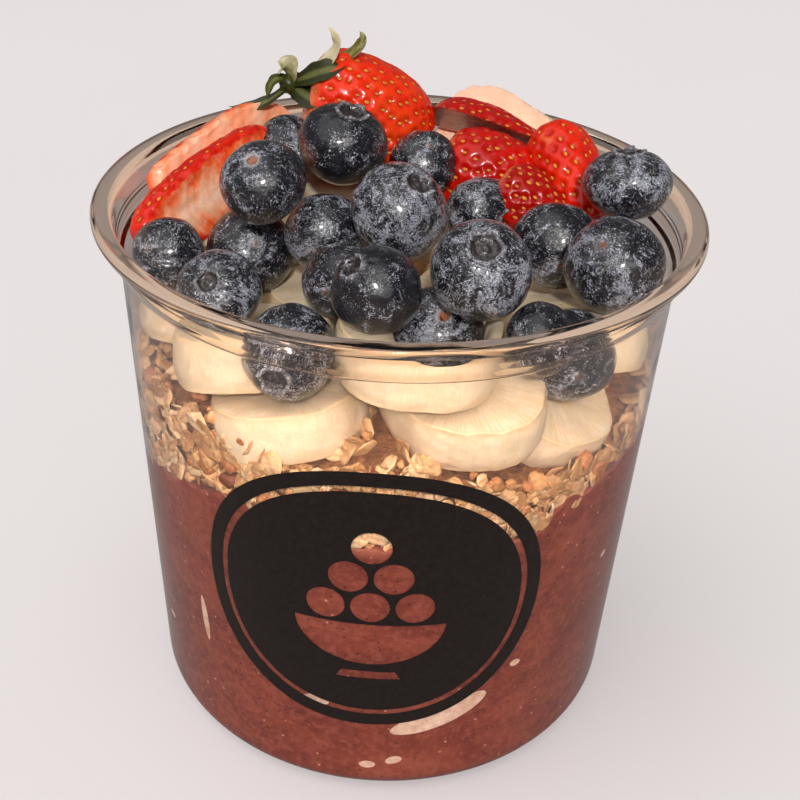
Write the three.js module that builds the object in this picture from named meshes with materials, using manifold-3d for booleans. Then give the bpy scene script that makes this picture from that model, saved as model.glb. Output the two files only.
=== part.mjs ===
// An acai bowl in a round clear plastic cup: acai puree, a band of granola, banana slices
// pressed against the wall, strawberry pieces standing at the back and a heap of blueberries.
// Millimetres, +Z up, origin at the centre of the cup's flat underside, front at -Y.
import * as THREE from "three";
import { mergeVertices } from "three/addons/utils/BufferGeometryUtils.js";
import Module from "manifold-3d";

// ---- driving sizes ----
const CUP_H = 110.9; // overall height of the cup
const RIM_R = 58.7; // outside radius of the rolled rim
const BASE_R = 50.5; // outside radius where the wall leaves the bottom corner
const NECK_R = 53.95; // outside radius of the wall just under the stacking ring
const NECK_Z = 102.2;
const CORNER = 4.7; // bottom corner radius
const WALL = 0.8;
const FLOOR = 1.0;
const CUP_SEG = 36;
const GAP = 0.4; // clearance between pieces that touch
const FINE = 0.19; // smallest detail kept where one piece makes room for another

const wasm = await Module();
wasm.setup();

// ---- helpers ----
function toSolid(geometry) {
  const bare = geometry.index ? geometry.toNonIndexed() : geometry.clone();
  bare.deleteAttribute("normal");
  bare.deleteAttribute("uv");
  const g = mergeVertices(bare, 1e-3);
  return new wasm.Manifold(
    new wasm.Mesh({
      numProp: 3,
      vertProperties: new Float32Array(g.attributes.position.array),
      triVerts: new Uint32Array(g.index.array),
    }),
  );
}
function toGeometry(solid) {
  const m = solid.getMesh();
  const n = m.numProp;
  const v = new Float32Array(m.numVert * 3);
  for (let i = 0; i < m.numVert; i++)
    v.set(m.vertProperties.subarray(i * n, i * n + 3), i * 3);
  return new THREE.BufferGeometry()
    .setAttribute("position", new THREE.BufferAttribute(v, 3))
    .setIndex(new THREE.BufferAttribute(new Uint32Array(m.triVerts), 1));
}
function largest(solid) {
  return solid
    .decompose()
    .reduce((a, b) => (b.volume() > a.volume() ? b : a));
}
// Closed skin over stacked rings of points; the first and last rings close on single points.
function stack(rings) {
  const pos = [];
  const idx = [];
  const start = [];
  rings.forEach((ring) => {
    start.push(pos.length / 3);
    ring.forEach((p) => pos.push(p.x, p.y, p.z));
  });
  for (let k = 0; k + 1 < rings.length; k++) {
    const a = rings[k].length;
    const b = rings[k + 1].length;
    const n = Math.max(a, b);
    for (let i = 0; i < n; i++) {
      const j = (i + 1) % n;
      const a0 = start[k] + (a === 1 ? 0 : i);
      const a1 = start[k] + (a === 1 ? 0 : j);
      const b0 = start[k + 1] + (b === 1 ? 0 : i);
      const b1 = start[k + 1] + (b === 1 ? 0 : j);
      if (a > 1) idx.push(a0, a1, b1);
      if (b > 1) idx.push(a0, b1, b0);
    }
  }
  return new THREE.BufferGeometry()
    .setAttribute("position", new THREE.Float32BufferAttribute(pos, 3))
    .setIndex(idx);
}
// Turned body about +Z from (radius, height) pairs that run from the axis up and round to the axis.
function turned(profile, segments) {
  const pts = profile.map(([r, z]) => new THREE.Vector2(r, z));
  return new THREE.LatheGeometry(pts, segments).rotateX(Math.PI / 2);
}
function frameOf(axis, normal) {
  const z = new THREE.Vector3(...axis).normalize();
  const n = new THREE.Vector3(...normal);
  const y = n.addScaledVector(z, -n.dot(z)).normalize();
  const x = new THREE.Vector3().crossVectors(y, z);
  return new THREE.Matrix4().makeBasis(x, y, z);
}
const Z = new THREE.Vector3(0, 0, 1);
const wave = (t, a, b, c) =>
  0.55 * Math.sin(2 * t + a) + 0.3 * Math.sin(3 * t + b) + 0.25 * Math.sin(5 * t + c);
const innerR = (z) => {
  const r =
    BASE_R + ((NECK_R - BASE_R) * (z - CORNER)) / (NECK_Z - CORNER) - WALL;
  return z >= CORNER
    ? r
    : r - CORNER + Math.sqrt(Math.max(CORNER ** 2 - (CORNER - z) ** 2, 0));
};

const bowl = new THREE.Group();
const placed = []; // what is already placed, each with its clearance
function material(hex, roughness, extra = {}) {
  return new THREE.MeshStandardMaterial({
    color: hex,
    roughness,
    metalness: 0,
    ...extra,
  });
}
function place(name, geometry, mat, matrix) {
  const mesh = new THREE.Mesh(geometry, mat);
  mesh.name = name;
  if (matrix) matrix.decompose(mesh.position, mesh.quaternion, mesh.scale);
  bowl.add(mesh);
  return mesh;
}

// ---- the cup ----
function cupGeometry() {
  const out = [[0, 0]];
  for (let i = 0; i <= 3; i++) {
    const a = (i / 3) * (Math.PI / 2);
    out.push([
      BASE_R - CORNER + CORNER * Math.sin(a),
      CORNER - CORNER * Math.cos(a),
    ]);
  }
  out.push(
    [NECK_R, NECK_Z],
    [NECK_R + 1.15, NECK_Z + 0.9],
    [NECK_R + 1.2, NECK_Z + 1.7],
    [NECK_R + 1.0, NECK_Z + 2.3],
    [NECK_R + 1.5, CUP_H - 2.3],
    [RIM_R - 0.7, CUP_H - 2.0],
    [RIM_R, CUP_H - 1.3],
    [RIM_R - 0.1, CUP_H - 0.5],
    [RIM_R - 1.0, CUP_H],
    [RIM_R - 2.8, CUP_H - 0.1],
    [RIM_R - 3.9, CUP_H - 1.1],
    [NECK_R + 0.2, NECK_Z + 2.4],
    [NECK_R + 0.3, NECK_Z + 1.2],
    [NECK_R - WALL, NECK_Z - 0.1],
    [BASE_R - WALL, CORNER],
    [BASE_R - 1.9, CORNER - 2.4],
    [BASE_R - CORNER, FLOOR],
    [0, FLOOR],
  );
  return turned(out, CUP_SEG);
}
place(
  "cup",
  cupGeometry(),
  material(0xd9c7bb, 0.12, { transparent: true, opacity: 0.35 }),
);

// The room inside the cup, open upwards.
const insideWall = (() => {
  const prof = [[0, FLOOR + GAP]];
  for (const z of [FLOOR + GAP, 2.4, CORNER, 40, 75, NECK_Z])
    prof.push([innerR(z) - GAP - 0.14, z]);
  prof.push([innerR(NECK_Z) - 0.2, CUP_H], [innerR(NECK_Z) - 0.2, 150], [0, 150]);
  return toSolid(turned(prof, CUP_SEG));
})();

// ---- blueberries ----
const BERRY_SEG = 12;
// centre x, y, z, diameter, height over diameter, crown direction x, y, z, crown drawn open
const BERRIES = [
  [-12.1, 12.6, 115.8, 17.8, 0.88, 0.23, -0.13, 0.97, 1],
  [-26.0, -5.5, 114.7, 16.3, 0.86, 0.22, 0.5, -0.84, 0],
  [-24.3, 25.3, 109.4, 13.8, 0.88, -0.35, 0.54, -0.77, 0],
  [4.3, 23.7, 107.9, 14.7, 0.9, -0.16, 0.49, -0.86, 0],
  [-0.2, -7.6, 111.0, 18.5, 0.94, 0.4, -0.34, 0.85, 1],
  [-14.5, -2.1, 103.0, 16.0, 0.92, 0.22, 0.97, 0.1, 0],
  [-29.6, 1.4, 96.9, 17.6, 0.82, -0.21, 0.76, -0.61, 0],
  [-43.9, -9.6, 100.6, 14.3, 0.9, 0.45, 0.7, -0.55, 0],
  [-31.6, -26.9, 102.5, 15.5, 0.82, -0.21, -0.69, 0.7, 1],
  [-3.4, -35.5, 108.9, 15.8, 0.95, -0.56, -0.32, 0.76, 1],
  [-9.8, -20.3, 101.7, 15.4, 0.9, 0.45, 0.87, -0.21, 0],
  [14.5, -32.0, 111.8, 17.8, 0.9, 0.0, -0.55, 0.84, 1],
  [7.9, -27.3, 96.8, 16.6, 0.92, -0.09, 0.61, -0.78, 0],
  [16.4, 12.2, 102.4, 15.1, 0.9, 0.78, -0.63, 0.05, 1],
  [30.4, -4.0, 103.6, 17.0, 0.95, -0.02, 1.0, 0.07, 0],
  [39.5, -18.5, 107.0, 18.2, 0.95, 0.41, 0.52, -0.75, 0],
  [44.9, -1.9, 100.0, 13.0, 0.9, -0.56, 0.73, -0.4, 0],
  [44.0, 4.6, 113.4, 17.9, 0.74, -0.07, 0.16, 0.98, 1],
  [31.6, -29.6, 94.5, 16.5, 0.96, -0.11, 0.99, -0.02, 0],
  [-17.9, -39.1, 98.0, 16.5, 0.98, -0.2, -0.97, -0.13, 1],
  [24.7, -39.0, 102.9, 12.7, 0.9, 0.78, 0.44, -0.45, 0],
];
function berryGeometry(d, flat, open) {
  const R = d / 2;
  const h = R * flat;
  const prof = [[0, -h]];
  for (const a of open ? [32, 62, 90, 118, 146] : [32, 62, 90, 118, 148]) {
    const t = (a * Math.PI) / 180;
    prof.push([R * Math.sin(t), -h * Math.cos(t)]);
  }
  if (open)
    prof.push([0.36 * R, 0.99 * h], [0.25 * R, 0.84 * h], [0, 0.82 * h]);
  else prof.push([0, h * 0.98]);
  return turned(prof, BERRY_SEG);
}
const berryColours = [0x2c2f3a, 0x343845, 0x3d414d, 0x262833];
BERRIES.forEach(([x, y, z, d, flat, cx, cy, cz, open], i) => {
  const turn = new THREE.Quaternion().setFromUnitVectors(
    Z,
    new THREE.Vector3(cx, cy, cz).normalize(),
  );
  const m = new THREE.Matrix4().compose(
    new THREE.Vector3(x, y, z),
    turn,
    new THREE.Vector3(1, 1, 1),
  );
  const name = "blueberry_" + String(i + 1).padStart(2, "0");
  const g = berryGeometry(d, flat, open);
  place(name, g, material(berryColours[i % 4], 0.5), m);
  const hollow = (d / 2 + GAP) / 0.9; // a coarse ball round the berry
  placed.push(
    toSolid(
      new THREE.SphereGeometry(hollow, 7, 5)
        .rotateX(Math.PI / 2)
        .scale(1, 1, Math.max(flat, 0.86))
        .applyMatrix4(m),
    ),
  );
});

// The same geometry grown by the clearance on each of its own axes, as a solid in the cup's frame.
function grownSolid(geometry, matrix, gap = GAP) {
  const g = geometry.clone();
  g.computeBoundingBox();
  const c = g.boundingBox.getCenter(new THREE.Vector3());
  const h = g.boundingBox.getSize(new THREE.Vector3()).multiplyScalar(0.5);
  g.translate(-c.x, -c.y, -c.z)
    .scale(1 + gap / h.x, 1 + gap / h.y, 1 + gap / h.z)
    .translate(c.x, c.y, c.z);
  return toSolid(g.applyMatrix4(matrix));
}
// Takes a piece's solid and makes room in it for the pieces already placed.
function giveWay(solid) {
  for (const grown of placed)
    if (solid.intersect(grown).volume() > 1e-6) solid = solid.subtract(grown);
  return largest(largest(solid).simplify(FINE));
}
function settle(name, geometry, matrix, mat, coarse = geometry) {
  const raw = toSolid(geometry.clone().applyMatrix4(matrix));
  place(name, toGeometry(giveWay(raw.intersect(insideWall))), mat);
  placed.push(grownSolid(coarse, matrix));
}

// ---- strawberries ----
// A strawberry stands on its tip along +Z: rounded tip, widest at two thirds, flat shoulders.
const BERRY_SHAPE = [
  [0, 0],
  [0.3, 0.05],
  [0.58, 0.22],
  [0.82, 0.44],
  [0.98, 0.66],
  [0.96, 0.84],
  [0.66, 0.97],
  [0, 0.95],
];
// A blunt one keeps its width nearly down to the tip.
const BLUNT_SHAPE = [
  [0, 0],
  [0.4, 0.02],
  [0.76, 0.16],
  [0.93, 0.36],
  [1.0, 0.6],
  [0.96, 0.84],
  [0.66, 0.97],
  [0, 0.95],
];
function strawberryGeometry(length, diameter, shape, seg = 12) {
  return turned(
    shape.map(([r, z]) => [(r * diameter) / 2, (z - 0.5) * length]),
    seg,
  );
}
// Part of a strawberry between two cutting planes across its local Y, and above x1 at most if that is given.
function sliceGeometry(length, diameter, shape, [y0, y1, x1 = diameter], segments = 12) {
  const body = toSolid(strawberryGeometry(length, diameter, shape, segments));
  const slab = new THREE.BoxGeometry(x1 + diameter, y1 - y0, length * 2).translate(
    (x1 - diameter) / 2,
    (y0 + y1) / 2,
    0,
  );
  return toGeometry(body.intersect(toSolid(slab)));
}
const skinRed = material(0xd8361a, 0.3);
const fleshRed = material(0xf0a886, 0.4);
// name, centre, tip-to-shoulder direction, outward cut direction, length, diameter, slab limits, outline, colour
const FRUIT = [
  ["strawberry_whole", [-8.6, 37.4, 111.8], [-0.97, -0.02, 0.26], [0, -1, 0.3], 29, 26, null, BLUNT_SHAPE, skinRed],
  ["strawberry_slice_tip", [27.2, 12.4, 103.6], [-0.75, 0.35, 0.3], [-0.1, -0.55, 0.83], 19, 14, [-3.5, 7.5], BERRY_SHAPE, skinRed],
  ["strawberry_slice_mid", [22.5, 26.5, 103.4], [-0.95, 0.2, 0.1], [0, -0.6, 0.8], 30, 20, [-2.5, 10.5], BERRY_SHAPE, skinRed],
  ["strawberry_slice_right", [35.3, 20.3, 106.6], [-0.3, 0.88, 0.35], [-0.55, -0.35, 0.75], 27, 16, [-3, 8.2], BERRY_SHAPE, skinRed],
  ["strawberry_slice_back", [21.5, 37.0, 104.4], [-0.93, 0.33, 0.1], [-0.1, -0.75, 0.65], 39, 23, [-1.5, 12.0, -3.6], BERRY_SHAPE, skinRed],
  ["strawberry_slice_pale", [23.9, 41.6, 104.4], [-0.9, 0.42, 0.06], [-0.15, -0.75, 0.65], 37, 26, [-2.3, 1.9], BERRY_SHAPE, fleshRed],
  ["strawberry_slice_left", [-38.8, 11.6, 104.6], [0.6, 0.77, 0.2], [0.75, -0.6, 0.3], 41, 15.5, [-3.6, 3.0], BLUNT_SHAPE, fleshRed],
  ["strawberry_slice_rim", [-37.6, 25.6, 105.6], [0.7, 0.71, 0.03], [0.68, -0.62, 0.35], 38, 20, [-3, 2.2], BERRY_SHAPE, fleshRed],
];
FRUIT.forEach(([name, c, axis, normal, length, dia, cut, shape, mat]) => {
  const g = cut
    ? sliceGeometry(length, dia, shape, cut)
    : strawberryGeometry(length, dia, shape, 16);
  const m = frameOf(axis, normal).setPosition(...c);
  const wide = dia * 1.1;
  const coarse = cut
    ? sliceGeometry(length, wide, shape, cut, 8)
    : strawberryGeometry(length, wide, shape, 8);
  settle(name, g, m, mat, coarse);
});

// Sepals of the whole strawberry: pointed blades that bend from the button to their tips.
const BUTTON = [-24.6, 36.0, 119.6];
const SEPALS = [
  // middle, tip, half width
  [[-13.5, 33, 127.6], [-17.1, 33, 133.1], 1.7],
  [[-9.6, 35.5, 127.2], [-10.6, 36, 131.5], 1.8],
  [[-17.5, 30.5, 124.4], [-12.6, 32.5, 125.0], 2.7],
  [[-24.8, 34.5, 124.0], [-27.5, 34.5, 124.6], 2.6],
  [[-20.2, 29.8, 118.6], [-16.2, 28.0, 118.0], 2.6],
  [[-28.2, 33.5, 121.6], [-29.5, 33, 117.0], 1.7],
  [[-31, 33.6, 114.8], [-38.2, 34.2, 114.5], 1.5],
];
function sepalGeometry(mid, tip, half) {
  const curve = new THREE.QuadraticBezierCurve3(
    new THREE.Vector3(...BUTTON),
    new THREE.Vector3(...mid).multiplyScalar(1.5).add(
      new THREE.Vector3(...BUTTON).add(new THREE.Vector3(...tip)).multiplyScalar(-0.25),
    ),
    new THREE.Vector3(...tip),
  );
  const steps = 4;
  const rings = [];
  for (let i = 0; i <= steps; i++) {
    const t = i / steps;
    const p = curve.getPoint(t);
    if (i === 0 || i === steps) {
      rings.push([p]);
      continue;
    }
    const along = curve.getTangent(t);
    const up = new THREE.Vector3(-0.5, -0.55, 0.67);
    const side = new THREE.Vector3().crossVectors(along, up).normalize();
    up.crossVectors(side, along).normalize();
    const w = half * Math.sin(Math.PI * Math.pow(t, 0.85)) + 0.5;
    rings.push([
      p.clone().addScaledVector(side, w),
      p.clone().addScaledVector(up, -0.55),
      p.clone().addScaledVector(side, -w),
      p.clone().addScaledVector(up, 0.55),
    ]);
  }
  return stack(rings);
}
function leavesSolid() {
  let all = toSolid(
    new THREE.SphereGeometry(2.6, 7, 5)
      .rotateX(0.35)
      .rotateY(0.27)
      .translate(...BUTTON),
  );
  for (const [mid, tip, half] of SEPALS) {
    all = all.add(toSolid(sepalGeometry(mid, tip, half)));
  }
  return all;
}
{
  const cut = giveWay(leavesSolid());
  place("strawberry_leaves", toGeometry(cut), material(0x4c5a22, 0.55));
}

// ---- banana slices ----
const BANANA_SEG = 14;
// centre x, y, z, diameter, thickness, lean in degrees (+ turns the top face outwards), roll in degrees
const BANANAS = [
  [-25.6, -26.8, 91.8, 29, 9.6, -8, 14],
  [4.6, -36.2, 97.2, 30, 9.6, -8, -3],
  [33.4, -18.6, 93.0, 28, 9.6, -10, -14],
  [12.8, -34.6, 87.6, 30, 9.6, 10, 4],
  [-18.2, -32.8, 82.2, 29, 9.2, -6, 12],
  [27.6, -24.6, 81.8, 29, 8.2, 28, -6],
  [-38.0, -5.0, 87.0, 27, 9.2, -8, 16],
  [-35.6, 14.6, 95.0, 26, 8.2, -8, -10],
  [38.4, 8.8, 86.4, 27, 9.0, -8, -8],
  [-28.8, 26.4, 85.4, 29, 9.2, -8, -8],
  [1.0, 38.0, 86.6, 29, 9.4, -8, 6],
  [28.6, 29.0, 85.0, 28, 9.0, -10, -6],
  [-16.4, 31.6, 95.6, 27, 8.4, -4, 8],
  [17.8, 31.0, 95.4, 28, 8.4, -4, -6],
  [-11.0, 2.0, 85.0, 30, 9.0, 0, 4],
  [17.6, -3.4, 87.6, 29, 9.0, 4, -4],
];
function bananaGeometry(d, h, seed, segments = BANANA_SEG) {
  const ring = (grow, z) =>
    Array.from({ length: segments }, (_, i) => {
      const t = (i / segments) * Math.PI * 2;
      const r =
        (d / 2 + grow) *
        (1 + 0.03 * Math.cos(2 * t + seed) + 0.022 * Math.cos(5 * t + 2 * seed));
      return new THREE.Vector3(r * Math.cos(t), r * Math.sin(t), z);
    });
  return stack([
    [new THREE.Vector3(0, 0, -h / 2)],
    ring(-0.7, -h / 2),
    ring(0, 0),
    ring(-0.7, h / 2),
    [new THREE.Vector3(0, 0, h / 2)],
  ]);
}
BANANAS.forEach(([x, y, z, d, h, lean, roll], i) => {
  const out = Math.atan2(y, x);
  const m = new THREE.Matrix4()
    .makeTranslation(x, y, z)
    .multiply(new THREE.Matrix4().makeRotationZ(out))
    .multiply(
      new THREE.Matrix4().makeRotationY(THREE.MathUtils.degToRad(lean)),
    )
    .multiply(
      new THREE.Matrix4().makeRotationX(THREE.MathUtils.degToRad(roll)),
    );
  const name = "banana_slice_" + String(i + 1).padStart(2, "0");
  settle(
    name,
    bananaGeometry(d, h, i * 1.7),
    m,
    material(0xf0ddbb, 0.45),
    bananaGeometry(d * 1.1, h * 1.02, i * 1.7, 8),
  );
});

// ---- granola and acai ----
const FOOD_SEG = 32;
// Heights round the wall: degrees from the front (+ to the right), top of the puree, depth of granola on it.
const EDGES = [
  [-110, 61, 21],
  [-75, 60, 20],
  [-55, 64.5, 19],
  [-43, 67, 17],
  [-31, 71, 12],
  [-18, 68, 11],
  [-8, 65.6, 16],
  [3, 65.6, 18],
  [15, 65.2, 14],
  [31, 64.5, 12],
  [39, 69.8, 6],
  [52, 71, 4],
  [76, 73.5, 4],
  [105, 72, 9],
  [145, 66, 17],
  [180, 65, 18],
  [215, 67, 15],
];
function edgeAt(t, column) {
  const turn = (((THREE.MathUtils.radToDeg(t) + 110) % 360) + 360) % 360 - 110;
  let k = 0;
  while (k + 1 < EDGES.length && EDGES[k + 1][0] <= turn) k++;
  const a = EDGES[k];
  const b = k + 1 < EDGES.length ? EDGES[k + 1] : [250, EDGES[0][1], EDGES[0][2]];
  const f = THREE.MathUtils.smoothstep(turn, a[0], b[0]);
  return a[column] + (b[column] - a[column]) * f;
}
const acaiTop = (t, f) =>
  edgeAt(t, 1) * f + (1 - f) * 68 + 1.2 * wave(t, 1, 2, 3) * f * (1 - f);
const granolaTop = (t, f) =>
  (edgeAt(t, 1) + edgeAt(t, 2)) * f + (1 - f) * 84;
function discRing(f, height, shrink = 0) {
  return Array.from({ length: FOOD_SEG }, (_, i) => {
    const t = (i / FOOD_SEG) * Math.PI * 2;
    const z = height(t, f);
    const r = (innerR(z) - GAP - 0.16 - shrink) * f;
    return new THREE.Vector3(r * Math.sin(t), -r * Math.cos(t), z);
  });
}
function acaiGeometry() {
  const z0 = FLOOR + GAP;
  return stack([
    [new THREE.Vector3(0, 0, z0)],
    discRing(1, () => z0, 1.2),
    discRing(1, () => 2.5),
    discRing(1, () => CORNER),
    discRing(1, () => 34),
    discRing(1, acaiTop),
    discRing(0.6, acaiTop),
    [new THREE.Vector3(0, 0, 68)],
  ]);
}
function granolaGeometry() {
  const low = (t, f) => acaiTop(t, f) + GAP;
  return stack([
    [new THREE.Vector3(0, 0, 68 + GAP)],
    discRing(0.6, low),
    discRing(1, low),
    discRing(1, granolaTop),
    discRing(0.6, granolaTop),
    [new THREE.Vector3(0, 0, 84)],
  ]);
}
place("acai", acaiGeometry(), material(0x8a5048, 0.5));
{
  const cut = giveWay(toSolid(granolaGeometry()));
  place("granola", toGeometry(cut), material(0xdfae7a, 0.9));
}

export default bowl;
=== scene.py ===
import math

import bpy
import numpy as np
from mathutils import Matrix, Quaternion, Vector


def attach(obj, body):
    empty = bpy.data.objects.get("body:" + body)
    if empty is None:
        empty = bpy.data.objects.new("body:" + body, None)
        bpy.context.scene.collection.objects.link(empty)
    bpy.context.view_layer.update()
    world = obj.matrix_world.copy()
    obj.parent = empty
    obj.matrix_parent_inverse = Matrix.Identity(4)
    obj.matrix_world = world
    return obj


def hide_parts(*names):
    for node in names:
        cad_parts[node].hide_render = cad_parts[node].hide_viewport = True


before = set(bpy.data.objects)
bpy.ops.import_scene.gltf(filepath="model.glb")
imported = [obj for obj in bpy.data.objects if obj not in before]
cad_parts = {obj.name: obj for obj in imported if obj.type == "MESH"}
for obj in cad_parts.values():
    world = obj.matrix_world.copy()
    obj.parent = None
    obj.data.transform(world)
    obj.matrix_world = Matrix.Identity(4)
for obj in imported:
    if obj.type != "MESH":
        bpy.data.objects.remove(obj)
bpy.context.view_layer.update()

# An acai bowl in a clear cup. Lengths below are in millimetres and turned into metres when a mesh is made.
MM = 0.001

# ---- driving sizes, the same as the CAD's ----
CUP_H, RIM_R, BASE_R, NECK_R, NECK_Z = 110.9, 58.7, 50.5, 53.95, 102.2
CORNER, WALL, FLOOR = 4.7, 0.8, 1.0
INTO_WALL = 0.06  # how far what fills the cup reaches into its wall

BERRIES = [  # x, y, z, diameter, height/diameter, crown direction, bloom 0..1
    [-12.1, 12.6, 115.8, 17.8, .88, .23, -.13, .97, .22],
    [-26.0, -5.5, 114.7, 16.3, .86, .22, .5, -.84, .42],
    [-24.3, 25.3, 109.4, 13.8, .88, -.35, .54, -.77, .35],
    [4.3, 23.7, 107.9, 14.7, .9, -.16, .49, -.86, .40],
    [-0.2, -7.6, 111.0, 18.5, .94, .4, -.34, .85, .74],
    [-14.5, -2.1, 103.0, 16.0, .92, .22, .97, .1, .55],
    [-29.6, 1.4, 96.9, 17.6, .82, -.21, .76, -.61, .40],
    [-43.9, -9.6, 100.6, 14.3, .9, .45, .7, -.55, .40],
    [-31.6, -26.9, 102.5, 15.5, .82, -.21, -.69, .7, .62],
    [-3.4, -35.5, 108.9, 15.8, .95, -.56, -.32, .76, .18],
    [-9.8, -20.3, 101.7, 15.4, .9, .45, .87, -.21, .30],
    [14.5, -32.0, 111.8, 17.8, .9, 0, -.55, .84, .68],
    [7.9, -27.3, 96.8, 16.6, .92, -.09, .61, -.78, .55],
    [16.4, 12.2, 102.4, 15.1, .9, .78, -.63, .05, .62],
    [30.4, -4.0, 103.6, 17.0, .95, -.02, 1.0, .07, .42],
    [39.5, -18.5, 107.0, 18.2, .95, .41, .52, -.75, .54],
    [44.9, -1.9, 100.0, 13.0, .9, -.56, .73, -.4, .35],
    [44.0, 4.6, 113.4, 17.9, .74, -.07, .16, .98, .68],
    [31.6, -29.6, 94.5, 16.5, .96, -.11, .99, -.02, .38],
    [-17.9, -39.1, 98.0, 16.5, .98, -.2, -.97, -.13, .55],
    [24.7, -39.0, 102.9, 12.7, .9, .78, .44, -.45, .22],
]
SHAPE = [(0, 0), (.18, .006), (.36, .06), (.58, .22), (.82, .44), (.97, .66), (.97, .84), (.72, .965), (.36, .975), (0, .95)]
BLUNT = [(0, 0), (.22, .002), (.46, .03), (.76, .16), (.93, .36), (1.0, .6), (.97, .84), (.72, .965), (.36, .975), (0, .95)]
# centre, tip to shoulder, outward cut direction, length, diameter, slab limits along the cut direction, outline,
# how ripe the skin is, how orange the cut flesh is
FRUIT = {
    "strawberry_whole": ([-8.6, 37.4, 111.8], [-.97, -.02, .26], [0, -1, .3], 29, 26, None, BLUNT, .30, 0),
    "strawberry_slice_tip": ([27.2, 12.4, 103.6], [-.75, .35, .3], [-.1, -.55, .83], 19, 14, (-3.5, 7.5), SHAPE, 1.0, .9),
    "strawberry_slice_mid": ([22.5, 26.5, 103.4], [-.95, .2, .1], [0, -.6, .8], 30, 20, (-2.5, 10.5), SHAPE, .8, .5),
    "strawberry_slice_right": ([35.3, 20.3, 106.6], [-.3, .88, .35], [-.55, -.35, .75], 27, 16, (-3, 8.2), SHAPE, .5, .7),
    "strawberry_slice_back": ([21.5, 37.0, 104.4], [-.93, .33, .1], [-.1, -.75, .65], 39, 23, (-1.5, 12, -3.6), SHAPE, .9, .95),
    "strawberry_slice_pale": ([23.9, 41.6, 104.4], [-.9, .42, .06], [-.15, -.75, .65], 37, 26, (-2.3, 1.9), SHAPE, -1.0, 0),
    "strawberry_slice_left": ([-38.8, 11.6, 104.6], [.6, .77, .2], [.75, -.6, .3], 41, 15.5, (-3.6, 3.0), BLUNT, .6, .08),
    "strawberry_slice_rim": ([-37.6, 25.6, 105.6], [.7, .71, .03], [.68, -.62, .35], 38, 20, (-3, 2.2), SHAPE, .45, .12),
}
BUTTON = [-24.6, 36.0, 119.6]
SEPALS = [  # middle, tip, half width, tone: 0 dark .. 1 pale
    ([-13.5, 33, 127.6], [-17.1, 33, 133.1], 1.7, 1.0),
    ([-9.6, 35.5, 127.2], [-10.6, 36, 131.5], 1.8, .62),
    ([-17.5, 30.5, 124.4], [-12.6, 32.5, 125.0], 2.7, .12),
    ([-24.8, 34.5, 124.0], [-27.5, 34.5, 124.6], 2.6, .75),
    ([-20.2, 29.8, 118.6], [-16.2, 28.0, 118.0], 2.6, .05),
    ([-28.2, 33.5, 121.6], [-29.5, 33, 117.0], 1.7, .35),
    ([-31, 33.6, 114.8], [-38.2, 34.2, 114.5], 1.5, .18),
]
BANANAS = [  # x, y, z, diameter, thickness, lean and roll in degrees
    [-25.6, -26.8, 91.8, 29, 9.6, -8, 14], [4.6, -36.2, 97.2, 30, 9.6, -8, -3],
    [33.4, -18.6, 93.0, 28, 9.6, -10, -14], [12.8, -34.6, 87.6, 30, 9.6, 10, 4],
    [-18.2, -32.8, 82.2, 29, 9.2, -6, 12], [27.6, -24.6, 81.8, 29, 8.2, 28, -6],
    [-38.0, -5.0, 87.0, 27, 9.2, -8, 16], [-35.6, 14.6, 95.0, 26, 8.2, -8, -10],
    [38.4, 8.8, 86.4, 27, 9.0, -8, -8], [-28.8, 26.4, 85.4, 29, 9.2, -8, -8],
    [1.0, 38.0, 86.6, 29, 9.4, -8, 6], [28.6, 29.0, 85.0, 28, 9.0, -10, -6],
    [-16.4, 31.6, 95.6, 27, 8.4, -4, 8], [17.8, 31.0, 95.4, 28, 8.4, -4, -6],
    [-11.0, 2.0, 85.0, 30, 9.0, 0, 4], [17.6, -3.4, 87.6, 29, 9.0, 4, -4],
]
EDGES = [  # degrees from the front, puree's top edge, depth of the granola over it
    (-110, 61, 21), (-75, 60, 20), (-55, 64.5, 19), (-43, 67, 17), (-31, 71, 12), (-18, 68, 11), (-8, 65.6, 16),
    (3, 65.6, 18), (15, 65.2, 14), (31, 64.5, 12), (39, 69.8, 6), (52, 71, 4), (76, 73.5, 4), (105, 72, 9),
    (145, 66, 17), (180, 65, 18), (215, 67, 15), (250, 61, 21),
]

RNG = np.random.default_rng(7)


# ---- meshes ----
def smooth_noise(P, scale, seed, waves=9):
    """A smooth uneven value near -1..1 at each point, with features about scale mm across."""
    g = np.random.default_rng(seed)
    d = g.normal(size=(waves, 3))
    d /= np.linalg.norm(d, axis=1)[:, None]
    k = 2 * np.pi / (scale * 2.0) * g.uniform(.6, 1.5, waves)
    return np.sin((P @ d.T) * k + g.uniform(0, 6.28, waves)).sum(-1) / math.sqrt(waves) * .9


def ball(p0, rings, p1):
    """A closed skin over rings of points, with one point at each end."""
    rings = np.asarray(rings, float)
    n, m, _ = rings.shape
    V = np.vstack([np.reshape(p0, (1, 3)), rings.reshape(-1, 3), np.reshape(p1, (1, 3))])
    a = np.arange(m)
    b = (a + 1) % m
    top = np.stack([0 * a, 1 + a, 1 + b], 1)
    i = np.arange(n - 1)[:, None] * m + 1
    quads = np.stack([i + a, i + m + a, i + m + b, i + b], -1).reshape(-1, 4)
    last = 1 + (n - 1) * m
    end = np.stack([0 * a + len(V) - 1, last + b, last + a], 1)
    tris = np.vstack([top, end])
    T = np.vstack([tris, quads[:, :3], quads[:, [0, 2, 3]]])
    c = V.mean(0)
    vol = np.einsum("ij,ij->i", V[T[:, 0]] - c, np.cross(V[T[:, 1]] - c, V[T[:, 2]] - c)).sum()
    if vol < 0:
        tris, quads = tris[:, ::-1], quads[:, ::-1]
    return V, [tris, quads]


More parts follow.
